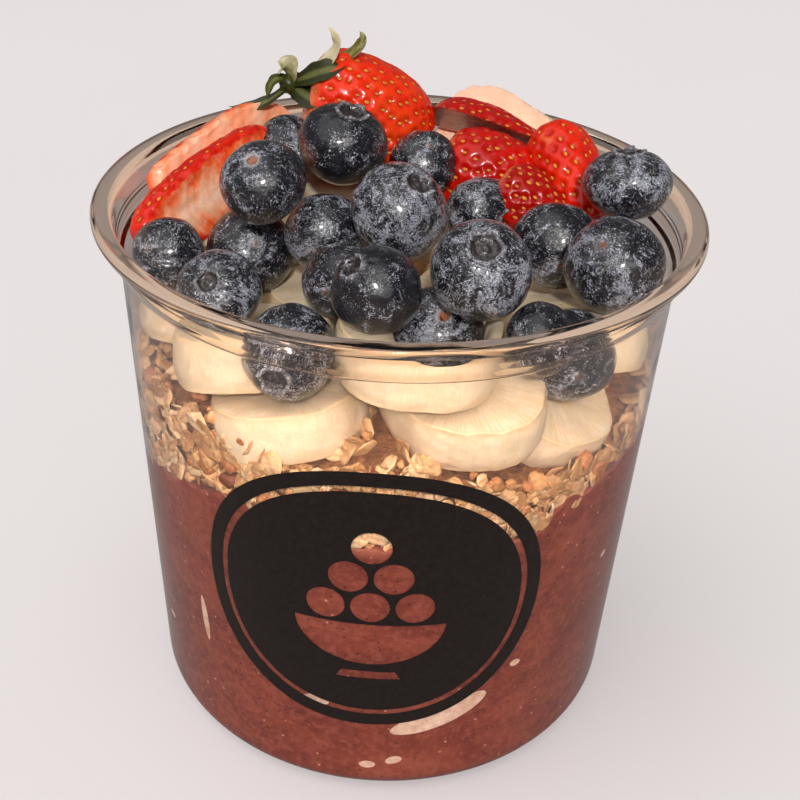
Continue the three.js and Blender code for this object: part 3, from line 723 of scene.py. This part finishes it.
def top_points(n, g):
    t = g.uniform(-np.pi, np.pi, n)
    f = np.sqrt(g.uniform(0, .93, n))
    e, dep = edge_at(t)
    z = (e + dep) * f + (1 - f) * 84
    return on_wall(t, z, f * (outer_r(z) - WALL)), np.tile([0, 0, 1.0], (n, 1))


def make_granola():
    g = np.random.default_rng(21)
    # the core, a little inside the loose pieces; its dark browns are painted shade that shows in the gaps between them
    t = np.linspace(0, 2 * np.pi, 200, endpoint=False)
    e, dep = edge_at(t)
    rings = []
    for f in (.25, .5, .75, .9):
        rings.append(on_wall(t, acai_top(t, f) - .6, f * 50 + 0 * t))
    for k in np.linspace(0, 1, 14):
        z = (e - .8) * (1 - k) + (e + dep - 1.4) * k
        P = on_wall(t, z, outer_r(z) - WALL - 2.1)
        P[:, :2] *= (1 + .012 * smooth_noise(P, 2.4, 31))[:, None]
        rings.append(P)
    for f in (.9, .75, .55, .35, .15):
        z = (e + dep) * f + (1 - f) * 84 - 1.6
        P = on_wall(t, z, f * 50)
        P[:, 2] += .5 * smooth_noise(P, 3, 32)
        rings.append(P)
    V, F = ball((0, 0, 67), rings, (0, 0, 82.4))
    mesh_piece("granola_core_painted_shade", V, F, [M["core"]], ["granola"])

    # oats
    parts, tone, crease = [], [], []
    for k in range(7):
        V, F, cr = flake(100 + k)
        P1, N1 = band_points(80, g, (.35, .9))
        P2, N2 = band_points(80, g, (1.0, 2.6))
        P3, N3 = top_points(34, g)
        for P, N, loose in ((P1, N1, .30), (P2, N2, .9), (P3, N3, .7)):
            n = len(P)
            A = turns(n, g, N, loose) * (g.uniform(.50, .98, n)[:, None, None])
            W, G = copies(V, F, A, P)
            parts.append((press(W), G))
            tone.append(np.repeat(g.uniform(.15, .95, n), len(V)))
            crease.append(np.tile(cr, n))
    V, F = join(parts)
    mesh_piece("granola_oats", V, F, [M["oat"]], (),
               {"tone": np.concatenate(tone), "crease": np.concatenate(crease)})

    # baked clusters, and a few darker bits of nut and dried fruit
    parts, tone = [], []
    for k in range(6):
        V, F = lump(200 + 3 * k)
        P1, N1 = band_points(46, g, (.6, 2.2))
        P3, N3 = top_points(22, g)
        for P in (P1, P3):
            n = len(P)
            size = g.uniform(.7, 2.1, n)[:, None] * g.uniform(.7, 1.15, (n, 3))
            A = turns(n, g, g.normal(size=(n, 3)), .2) * size[:, None, :]
            W, G = copies(V, F, A, P)
            parts.append((press(W), G))
            tone.append(np.repeat(g.uniform(.25, .85, n), len(V)))
    for deg, z, s in ((-53, 78.5, 2.0), (-50.5, 76.5, 1.6), (-33, 73.0, 1.8), (-2, 82, 1.5), (24, 72, 1.4),
                      (118, 78, 1.9), (160, 75, 1.7), (205, 77, 1.8), (240, 73, 1.6)):
        V, F = lump(int(300 + z))
        tt = math.radians(deg)
        P = on_wall(np.array([tt]), np.array([z]), np.array([outer_r(z) - WALL - s * .6]))
        W, G = copies(V, F, np.eye(3)[None] * s * np.array([1.2, .9, .8]), P)
        parts.append((press(W), G))
        tone.append(np.full(len(V), -.12))
    V, F = join(parts)
    mesh_piece("granola_clusters", V, F, [M["cluster"]], (), {"tone": np.concatenate(tone)})


# ---- bananas ----
def make_bananas():
    m = 112
    a = np.linspace(0, 2 * np.pi, m, endpoint=False)
    for i, (x, y, z, d, h, lean, roll) in enumerate(BANANAS):
        seed = i * 1.7
        R = d / 2 * (1 + .03 * np.cos(2 * a + seed) + .022 * np.cos(5 * a + 2 * seed))
        rows = []  # (fraction of the radius, inset, height, face, rim)
        for f in (.07, .15, .23, .31, .40, .50, .60, .69, .77, .84, .895):
            rows.append((f, 0, h / 2, 1, 0))
        for k in np.linspace(0, 1, 5):
            b = math.pi / 2 * (1 - k)
            rows.append((1, .95 - .55 * math.cos(b), h / 2 - .55 + .55 * math.sin(b), 1 - k, 1))
        for k in np.linspace(0, 1, 13)[1:-1]:
            zz = (h / 2 - .55) * (1 - 2 * k)
            rows.append((1, .40 * (2 * zz / h) ** 2, zz, 0, max(0, 1 - 5 * min(k, 1 - k))))
        top = list(rows)
        for f, ins, zz, face, rim in reversed(top[:16]):
            rows.append((f, ins, -zz, face, rim))
        rings, face, rim = [], [], []
        for f, ins, zz, fa, ri in rows:
            r = R * f - ins
            rings.append(np.stack([r * np.cos(a), r * np.sin(a), 0 * a + zz], 1))
            face.append(np.full(m, fa))
            rim.append(np.full(m, ri))
        V, F = ball((0, 0, h / 2), rings, (0, 0, -h / 2))
        face = np.concatenate([[1], *face, [1]])
        rim = np.concatenate([[0], *rim, [0]])
        rad = np.hypot(V[:, 0], V[:, 1])
        ang = np.arctan2(V[:, 1], V[:, 0])
        up = np.sign(V[:, 2])
        dish = -.35 * np.exp(-(rad / 6.5) ** 2) + .18 * np.cos(3 * ang) * np.exp(-((rad - 4.0) / 1.8) ** 2)
        dish += .10 * smooth_noise(V, 3.0, 50 + i) + .06 * smooth_noise(V, 1.0, 80 + i)
        V[:, 2] += up * face * dish
        out = .16 * smooth_noise(V, 3.2, 110 + i) + .09 * smooth_noise(V, 1.1, 140 + i)
        out -= rim * (.10 + .22 * np.abs(smooth_noise(V, 1.3, 170 + i)))
        k = 1 + (1 - face) * out / np.maximum(rad, 1)
        V[:, 0] *= k
        V[:, 1] *= k
        # one slow bend, so that no two slices lie the same
        V[:, 2] += .0035 * (V[:, 0] * math.cos(seed) + V[:, 1] * math.sin(seed)) ** 2 * (1 if i % 2 else -.7)
        place = (Matrix.Translation(Vector((x, y, z)))
                 @ Matrix.Rotation(math.atan2(y, x), 4, "Z") @ Matrix.Rotation(math.radians(lean), 4, "Y")
                 @ Matrix.Rotation(math.radians(roll), 4, "X"))
        A = np.array(place)
        W = V @ A[:3, :3].T + A[:3, 3]
        if i == 1:
            W = make_room(W, BERRIES[12])
        W = press(W, .45)
        V = (W - A[:3, 3]) @ A[:3, :3]
        put = place.copy()
        put.translation = Vector((x, y, z)) * MM
        n = f"{i + 1:02d}"
        mesh_piece("banana_" + n, V, F, [M["banana"]], ["banana_slice_" + n],
                   {"face": face, "rim": rim}, put)


# ---- blueberries ----
CROWN = [  # radius, height, how far the five lobes push out and up, brown inside, pale lip
    (.035, .880, 0, 0, .9, .2), (.065, .872, 0, 0, 1, 0), (.09, .850, 0, 0, 1, 0), (.13, .842, 0, 0, 1, 0), (.17, .850, 0, .005, .9, 0),
    (.20, .862, 0, .01, .8, .2), (.225, .885, .01, .02, .9, 0), (.240, .925, .02, .04, .8, .2), (.256, .958, .03, .06, .4, .7),
    (.280, .978, .045, .075, .1, 1), (.305, .982, .055, .075, 0, 1), (.328, .966, .05, .055, 0, .8), (.345, .938, .035, .035, 0, .4),
    (.365, .918, .015, .015, 0, .1), (.40, .909, 0, 0, 0, 0),
]
STEM = {2: 1.0, 13: 1.0, 16: .45, 15: .4, 5: .5}  # how plainly each stem scar shows, where it faces out


def make_berries():
    m = 100
    a = np.linspace(0, 2 * np.pi, m, endpoint=False)
    for i, (x, y, z, d, flat, cx, cy, cz, bloom) in enumerate(BERRIES):
        g = np.random.default_rng(400 + i)
        R, h = d / 2, d / 2 * flat
        ph = g.uniform(0, 6.28)
        lobe = (.5 + .5 * np.cos(5 * a + ph)) ** 1.3 * g.uniform(.8, 1.1)
        lobe = lobe * (1 + .25 * np.sin(a + ph))
        wide = g.uniform(.9, 1.12)
        rings, crown, lip = [], [], []
        for rr, zz, wr, wz, br, li in CROWN:
            rag = wr * (.22 * np.sin(13 * a + 3 * ph) + .16 * np.sin(23 * a + ph))
            rho = R * (rr * (wide if rr < .36 else 1) + wr * (lobe - .4) + rag)
            rings.append(np.stack([rho * np.cos(a), rho * np.sin(a), h * (zz + wz * (lobe - .55) + 1.4 * rag)], 1))
            crown.append(np.full(m, br))
            lip.append(np.clip(np.full(m, li) * (.45 + lobe), 0, 1))
        first = math.asin(.43)
        for b in np.linspace(first, math.pi, 52)[:-1]:
            rings.append(np.stack([R * math.sin(b) * np.cos(a), R * math.sin(b) * np.sin(a), 0 * a + h * math.cos(b)], 1))
            crown.append(np.zeros(m))
            lip.append(np.zeros(m))
        V, F = ball((0, 0, .79 * h), rings, (0, 0, -h))
        crown = np.concatenate([[1], *crown, [0]])
        lip = np.concatenate([[0], *lip, [0]])
        rho = np.hypot(V[:, 0], V[:, 1]) / R
        back = V[:, 2] < 0
        # the stem's dimple, with a small raised scar in it
        V[:, 2] += back * h * (.075 * np.exp(-(rho / .17) ** 2) - .02 * np.exp(-(rho / .07) ** 4))
        plain = STEM.get(i + 1, .25)
        size = .06 + .065 * plain
        scar = back * np.clip((size - rho) / .03, 0, 1) * min(1, plain + .1)
        ring = back * np.exp(-((rho - size - .045) / .03) ** 2) * plain
        # a soft unevenness, and shallow puckers that run down from the crown
        U = V / R
        grow = .022 * smooth_noise(U, .75, 500 + i) + .008 * smooth_noise(U, .3, 530 + i)
        ang = np.arctan2(V[:, 1], V[:, 0])
        grow += -.010 * np.cos(10 * ang + ph + 2 * np.sin(ang)) * np.exp(-((rho - .5) / .16) ** 2) * (V[:, 2] > 0)
        if i in (7, 13):
            grow += -.07 * np.exp(-((U[:, 0] * .8 + U[:, 1] * .6 - .25 + .1 * np.sin(3 * U[:, 2])) / .09) ** 2) * (U[:, 2] < .5)
        V = V * (1 + grow * (1 - .7 * crown))[:, None]
        q = Vector((0, 0, 1)).rotation_difference(Vector((cx, cy, cz)).normalized())
        place = Matrix.Translation(Vector((x, y, z)) * MM) @ q.to_matrix().to_4x4()
        A = np.array(q.to_matrix())
        W = V @ A.T + np.array([x, y, z])
        W2 = press(W)
        V = (W2 - np.array([x, y, z])) @ A
        n = f"{i + 1:02d}"
        mesh_piece("berry_" + n, V, F, [M["berry"]], ["blueberry_" + n],
                   {"crown": crown, "lip": lip, "scar": scar, "ring": ring, "bloom": np.full(len(V), bloom)}, place)


# ---- strawberries ----

def soft_clamp(v, lo, hi, k=.28):
    """Clamps with a small rounding of k mm at each limit, and says by how much each value was cut."""
    a = lo + k * np.logaddexp(0, (v - lo) / k)
    b = hi - k * np.logaddexp(0, (hi - a) / k)
    return b, np.abs(v - b)


def make_strawberries():
    m = 190
    a = np.linspace(0, 2 * np.pi, m, endpoint=False)
    bean, bean_f = ball((0, 0, .5), [np.stack([f * np.cos(b8), f * .62 * np.sin(b8), 0 * b8 + zz], 1)
                                     for b8 in [np.linspace(0, 2 * np.pi, 8, endpoint=False)]
                                     for f, zz in ((.6, .42), (1.0, .1), (.8, -.3))], (0, 0, -.5))
    bean[:, 0] *= 1 - .28 * np.maximum(0, bean[:, 1])
    for k, (name, (c, axis, normal, L, D, slab, outline, ripe, orange)) in enumerate(FRUIT.items()):
        prof = resample(chaikin(outline, 3), 130)[1:-1]
        g = np.random.default_rng(600 + k)
        squash = 1 + .05 * np.cos(2 * a + k)
        P = []
        for r, u in prof:
            rr = r * D / 2 * squash
            P.append(np.stack([rr * np.cos(a), rr * np.sin(a), 0 * a + (u - .5) * L], 1))
        P = np.array(P)
        P *= (1 + .022 * smooth_noise(P.reshape(-1, 3), 9, 610 + k).reshape(P.shape[:2]))[..., None]
        V, F = ball((0, 0, -.5 * L), P, (0, 0, (.95 - .5) * L))
        along = np.concatenate([[0], np.repeat(prof[:, 1], m), [1]])
        # seeds spread evenly over the skin
        rr, uu = prof[:, 0] * D / 2, (prof[:, 1] - .5) * L
        ds = np.hypot(np.gradient(rr), np.gradient(uu))
        area = np.cumsum(2 * np.pi * rr * ds)
        gap = 3.1 if name != "strawberry_slice_tip" else 2.5
        n = int(area[-1] / (gap * gap * .87))
        idx = np.interp((np.arange(n) + .5) / n * area[-1], area, np.arange(len(prof)))
        phi = (np.arange(n) * 2.399963 + g.uniform(-.10, .10, n)) % (2 * np.pi)
        j = phi / (2 * np.pi) * m
        i0 = np.clip(np.round(idx).astype(int), 1, len(prof) - 2)
        j0 = np.round(j).astype(int) % m
        S = P[i0, j0]
        keep = (prof[i0, 1] < .955) & (idx > 3)
        S, i0, j0 = S[keep], i0[keep], j0[keep]
        up = P[i0 + 1, j0] - P[i0 - 1, j0]
        side = P[i0, (j0 + 1) % m] - P[i0, (j0 - 1) % m]
        N = np.cross(side, up)
        N /= np.linalg.norm(N, axis=1)[:, None]
        N *= np.sign(np.einsum("ij,ij->i", N, S - [0, 0, 1e-3]))[:, None]
        # a pit round each seed, with the skin swelling between them
        dist = np.full(len(V), 9.0)
        for s0 in range(0, len(V), 4000):
            q = V[s0:s0 + 4000]
            dist[s0:s0 + 4000] = np.sqrt(((q[:, None, :] - S[None]) ** 2).sum(-1)).min(1)
        pit = np.exp(-(dist / .95) ** 2)
        centre = np.stack([0 * along, 0 * along, V[:, 2] * .75], 1)
        out = V - centre
        out /= np.maximum(np.linalg.norm(out, axis=1), 1e-6)[:, None]
        ease = np.clip((.97 - along) / .05, 0, 1) * np.clip(along / .02, 0, 1)
        V = V + out * ((.22 - .75 * pit) * ease)[:, None]
        cut = np.zeros(len(V))
        depth = np.zeros(len(V))
        if slab:
            lo, hi = slab[:2]
            y0 = V[:, 1].copy()
            V[:, 1], moved = soft_clamp(V[:, 1], lo, hi)
            if len(slab) == 3:  # cut below too
                V[:, 0], below = soft_clamp(V[:, 0], -99, slab[2], .2)
                moved = np.where(below > .1, 0, moved)
            cut = np.clip((moved - .12) / .35, 0, 1)
            flesh_side = np.clip((V[:, 1] - lo - .9) / 1.1, 0, 1) * (1 if name.endswith("rim") else 0)
            cut = np.maximum(cut, flesh_side)
            rad_here = np.hypot(V[:, 0], y0)
            lim = np.where(y0 > 0, hi, lo)
            depth = np.sqrt(np.maximum(rad_here ** 2 - lim ** 2, 0)) - np.abs(V[:, 0])
            tipdist = np.minimum(V[:, 2] + .5 * L, .5 * L - V[:, 2])
            depth = np.minimum(np.maximum(depth, 0), np.maximum(tipdist, 0) * 1.2)
            # the knife leaves the face a little uneven
            V[:, 1] += cut * (.16 * smooth_noise(V * [1, 0, 1], 3.2, 640 + k) + .08 * smooth_noise(V * [1, 0, 1], 1.1, 650 + k))
            depth = np.where(flesh_side > 0, np.maximum(depth, (V[:, 1] - lo) * .8), depth)
            on = (S[:, 1] > lo + .35) & (S[:, 1] < (lo + 1.2 if name.endswith("rim") else hi - .35)) & (S[:, 0] < (slab[2] - .4 if len(slab) == 3 else 99))
            if ripe < 0:
                on &= False
            S, N = S[on], N[on]
        ax = np.array([0, 0, 1.0])
        X = ax - N * (N @ ax)[:, None]
        X /= np.maximum(np.linalg.norm(X, axis=1), 1e-6)[:, None]
        size = g.uniform(.50, .68, len(S))
        A = np.stack([X, np.cross(N, X), N], 2) * (size[:, None, None] * np.array([1, 1, .62]))
        seeds, seeds_f = copies(bean, bean_f, A, S + out_shift(S, N))
        allV, allF = join([(V, F), (seeds, seeds_f)])
        ns = len(seeds)
        pad = lambda v, x=0.0: np.concatenate([v, np.full(ns, x)])
        # material of each face: fruit first, then its seeds, for the triangles and then the quads
        fm = np.concatenate([np.zeros(len(F[0])), np.ones(len(seeds_f[0])), np.zeros(len(F[1])), np.ones(len(seeds_f[1]))])
        A3 = turned(axis, normal)
        W = press(allV @ A3.T + np.array(c))
        local = (W - np.array(c)) @ A3
        place = Matrix.Translation(Vector(c) * MM) @ Matrix(A3.tolist()).to_4x4()
        short = name.replace("strawberry_", "")
        mesh_piece("strawberry." + short, local, allF, [M["strawberry"], M["seed"]], [name],
                   {"cut": pad(cut), "depth": pad(depth), "along": pad(along), "pit": pad(pit),
                    "ripe": np.full(len(allV), ripe), "orange": np.full(len(allV), orange)}, place, fm)


def out_shift(S, N):
    return N * -.30


def make_leaves():
    parts, tone, vein = [], [], []
    for i, (mid, tip, half, tn) in enumerate(SEPALS):
        b, mi, ti = (np.array(v, float) for v in (BUTTON, mid, tip))
        ctrl = 1.5 * mi - .25 * (b + ti)
        s = np.linspace(0, 1, 30)[1:-1]
        C = ((1 - s) ** 2)[:, None] * b + (2 * s * (1 - s))[:, None] * ctrl + (s ** 2)[:, None] * ti
        D = (2 * (1 - s))[:, None] * (ctrl - b) + (2 * s)[:, None] * (ti - ctrl)
        D /= np.linalg.norm(D, axis=1)[:, None]
        ref = np.array([-.5, -.55, .67])
        side = np.cross(D, ref)
        side /= np.linalg.norm(side, axis=1)[:, None]
        up = np.cross(side, D)
        w = half * np.sin(np.pi * np.clip(s * .93 + .10, 0, 1)) ** .75 * (1 + .07 * np.sin(19 * s + i))
        a = np.linspace(0, 2 * np.pi, 22, endpoint=False)
        rings = []
        for q in range(len(s)):
            u = np.cos(a)
            hgt = .17 * np.sin(a) + .20 * w[q] * u * u - .10 * np.exp(-(u / .12) ** 2)
            hgt += .16 * np.sin(9 * s[q] + 2.2 * i + 1.5 * u) * np.abs(u)
            rings.append(C[q] + side[q] * (w[q] * u)[:, None] + up[q] * hgt[:, None])
        V, F = ball(b, rings, ti)
        parts.append((V, F))
        under = np.tile((np.sin(a) < 0) * 1.0, len(s))
        tone.append(np.concatenate([[tn], np.clip(tn + .22 * under + .1 * np.repeat(s, 22), 0, 1), [tn]]))
        vein.append(np.concatenate([[0], np.tile(np.exp(-(np.cos(a) / .16) ** 2), len(s)), [0]]))
    V, F = lump(77, 20, 12)
    V = V * np.array([2.5, 2.5, 2.2]) + np.array(BUTTON)
    parts.append((V, F))
    tone.append(np.full(len(V), .35))
    vein.append(np.zeros(len(V)))
    V, F = join(parts)
    mesh_piece("strawberry.leaves", V, F, [M["leaf"]], ["strawberry_leaves"],
               {"tone": np.concatenate(tone), "vein": np.concatenate(vein)})


# ---- pale bits of fruit pressed to the wall ----
def make_bits():
    parts = []
    for deg, z, w, h, tilt in ((-13.9, 24.5, 2.9, 1.5, 8), (14.4, 21.6, 10.2, 2.6, 24), (31.5, 31.5, 1.2, .9, 0),
                               (-2.0, 7.5, 1.7, 1.0, 5), (4.0, 9.0, 1.7, 1.1, 20), (-44, 33.5, .9, 5.6, 6),
                               (58, 47, 1.0, .8, 0), (-62, 22, 1.4, .8, 10), (150, 38, 3.6, 1.4, 15), (205, 22, 2.2, 1.2, -10),
                               (100, 18, 1.6, 1.0, 0), (255, 48, 2.6, 1.1, 30)):
        V, F = lump(0, 28, 16)
        V = V / np.linalg.norm(V, axis=1)[:, None]
        V = V * (1 + .10 * smooth_noise(V, 1.6, int(700 + 7 * z)))[:, None]
        T = math.radians(tilt)
        u = V[:, 0] * w * math.cos(T) - V[:, 2] * h * math.sin(T)
        v = V[:, 0] * w * math.sin(T) + V[:, 2] * h * math.cos(T)
        zz = z + v
        r = outer_r(zz) - WALL + INTO_WALL + .03 + np.minimum(0, V[:, 1] * 1.0) * .8
        r = np.where(V[:, 1] > -.35, outer_r(zz) - WALL + INTO_WALL + .03, r)
        parts.append((on_wall(math.radians(deg) + u / r, zz, r), F))
    V, F = join(parts)
    mesh_piece("pale_bits", V, F, [M["pale"]], ())


# ---- a plain generic print: a round badge with a bowl and dots left clear ----
def make_badge():
    cu = bpy.data.curves.new("badge", "CURVE")
    cu.dimensions = "2D"
    cu.fill_mode = "BOTH"

    def loop(points):
        sp = cu.splines.new("POLY")
        sp.points.add(len(points) - 1)
        for p, (u, v) in zip(sp.points, points):
            p.co = (u, v, 0, 1)
        sp.use_cyclic_u = True

    def oval(cx, cy, rx, ry, n=96, e=1.0):
        out = []
        for q in np.linspace(0, 2 * np.pi, n, endpoint=False):
            c, s = math.cos(q), math.sin(q)
            out.append((cx + rx * math.copysign(abs(c) ** e, c), cy + ry * math.copysign(abs(s) ** e, s)))
        return out

    loop(oval(0, 0, 33.6, 31.6, 160, .94))
    loop(oval(0, 0, 30.6, 28.6, 160, .94))
    loop(oval(0, 0, 29.3, 27.3, 160, .94))
    bowl = [(14.5 * math.cos(q), -4.2 + 10.5 * math.sin(q)) for q in np.linspace(math.pi, 2 * math.pi, 48)]
    loop(bowl)
    loop([(-5.2, -16.6), (5.2, -16.6), (6.4, -18.6), (-6.4, -18.6)])
    for cx, cy in ((-8.4, 0.2), (0.0, 0.2), (8.4, 0.2), (-4.2, 7.4), (4.2, 7.4), (0.0, 14.6)):
        loop(oval(cx, cy, 3.7, 3.7, 40))
    ob = bpy.data.objects.new("badge_flat", cu)
    bpy.context.scene.collection.objects.link(ob)
    bpy.context.view_layer.update()
    flat = bpy.data.meshes.new_from_object(ob.evaluated_get(bpy.context.evaluated_depsgraph_get()))
    bpy.data.objects.remove(ob)
    import bmesh
    bm = bmesh.new()
    bm.from_mesh(flat)
    bmesh.ops.remove_doubles(bm, verts=bm.verts, dist=1e-5)
    for u in np.arange(-33, 33.1, 1.5):
        geom = bm.verts[:] + bm.edges[:] + bm.faces[:]
        bmesh.ops.bisect_plane(bm, geom=geom, plane_co=(u, 0, 0), plane_no=(1, 0, 0))
    bmesh.ops.recalc_face_normals(bm, faces=bm.faces)
    grown = bmesh.ops.extrude_face_region(bm, geom=bm.faces[:])
    top = {v for v in grown["geom"] if isinstance(v, bmesh.types.BMVert)}
    for v in bm.verts:
        u, w = v.co.x, v.co.y
        z = 51.8 + w
        r = outer_r(z) + (.055 if v in top else -.02)
        t = math.radians(-2.4) + u / 52.4
        v.co = Vector((r * math.sin(t), -r * math.cos(t), z)) * MM
    bmesh.ops.recalc_face_normals(bm, faces=bm.faces)
    me = bpy.data.meshes.new("print_badge")
    bm.to_mesh(me)
    bm.free()
    bpy.data.meshes.remove(flat)
    me.materials.append(M["print"])
    ob = bpy.data.objects.new("print_badge", me)
    bpy.context.scene.collection.objects.link(ob)
    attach(ob, "root")


# ---- camera, light and floor ----
def make_camera():
    e, roll = math.radians(33.0192), math.radians(2.6336)
    fwd = Vector((0, math.cos(e), -math.sin(e)))
    right, up = Vector((1, 0, 0)), Vector((0, math.sin(e), math.cos(e)))
    ri = math.cos(roll) * right + math.sin(roll) * up
    iu = -math.sin(roll) * right + math.cos(roll) * up
    cam = bpy.data.cameras.new("camera")
    cam.sensor_width, cam.lens = 36.0, 56.44
    cam.clip_start, cam.clip_end = .01, 50
    ob = bpy.data.objects.new("camera", cam)
    m = Matrix((ri, iu, -fwd)).transposed().to_4x4()
    m.translation = Vector((1.569, -224.265, 209.551)) * MM
    ob.matrix_world = m
    bpy.context.scene.collection.objects.link(ob)
    bpy.context.scene.camera = ob


def sun(name, azimuth, elevation, wide, power, colour):
    la = bpy.data.lights.new(name, "SUN")
    la.angle, la.energy, la.color = math.radians(wide), power, colour
    ob = bpy.data.objects.new(name, la)
    a, e = math.radians(azimuth), math.radians(elevation)
    back = Vector((math.sin(a) * math.cos(e), -math.cos(a) * math.cos(e), math.sin(e)))
    ob.matrix_world = Matrix.Translation(back) @ back.to_track_quat("Z", "Y").to_matrix().to_4x4()
    bpy.context.scene.collection.objects.link(ob)


def make_stage():
    s = Mat("floor_pale")
    co = s.coord()
    base = s.ramp(s.noise(co, 3.0, 2.0), [(.3, (.80, .78, .80, 1)), (.7, (.83, .81, .83, 1))])
    # To glossy rays the floor is painted much darker: a painted reflection of darker surroundings.
    glossy = s.n("LightPath").outputs["Is Glossy Ray"]
    base = s.mix(s.math("MULTIPLY", glossy, .6), base, (.06, .05, .045, 1))
    s.finish({"Base Color": base, "Roughness": .75, "Specular IOR Level": .2})
    me = bpy.data.meshes.new("floor")
    q = 6.0
    me.from_pydata([(-q, -q, 0), (q, -q, 0), (q, q, 0), (-q, q, 0)], [], [(0, 1, 2, 3)])
    me.materials.append(s.m)
    fl = bpy.data.objects.new("floor", me)
    fl.location.z = -.0002
    bpy.context.scene.collection.objects.link(fl)
    w = bpy.data.worlds.new("soft")
    bpy.context.scene.world = w
    w.use_nodes = True
    t = w.node_tree
    bg = t.nodes["Background"]
    bg.inputs[0].default_value = (1.0, .96, .93, 1)
    bg.inputs[1].default_value = .30
    path = t.nodes.new("ShaderNodeLightPath")
    dim = t.nodes.new("ShaderNodeBackground")
    dim.inputs[0].default_value = (1.0, .96, .93, 1)
    dim.inputs[1].default_value = .12
    warm = t.nodes.new("ShaderNodeBackground")
    warm.inputs[0].default_value = (1.0, .88, .78, 1)
    warm.inputs[1].default_value = .75
    one = t.nodes.new("ShaderNodeMixShader")
    t.links.new(path.outputs["Is Glossy Ray"], one.inputs[0])
    t.links.new(bg.outputs[0], one.inputs[1])
    t.links.new(dim.outputs[0], one.inputs[2])
    both = t.nodes.new("ShaderNodeMixShader")
    t.links.new(path.outputs["Is Transmission Ray"], both.inputs[0])
    t.links.new(one.outputs[0], both.inputs[1])
    t.links.new(warm.outputs[0], both.inputs[2])
    pale = t.nodes.new("ShaderNodeBackground")
    pale.inputs[0].default_value = (1.0, .985, .98, 1)
    pale.inputs[1].default_value = .8
    seen = t.nodes.new("ShaderNodeMixShader")
    t.links.new(path.outputs["Is Camera Ray"], seen.inputs[0])
    t.links.new(both.outputs[0], seen.inputs[1])
    t.links.new(pale.outputs[0], seen.inputs[2])
    t.links.new(seen.outputs[0], t.nodes["World Output"].inputs[0])
    sun("key", 2, 36, 4.0, 2.35, (1.0, .97, .94))
    sun("top", -60, 66, 70.0, .9, (1.0, .97, .95))
    sc = bpy.context.scene
    sc.view_settings.view_transform = "Standard"
    sc.view_settings.look = "None"
    sc.view_settings.exposure = 0.0
    sc.cycles.max_bounces = 14
    sc.cycles.transmission_bounces = 12
    sc.cycles.transparent_max_bounces = 12
    sc.cycles.sample_clamp_indirect = 6.0


make_camera()
make_cup()
make_acai()
make_granola()
make_bananas()
make_berries()
make_strawberries()
make_leaves()
make_bits()
make_badge()
make_stage()
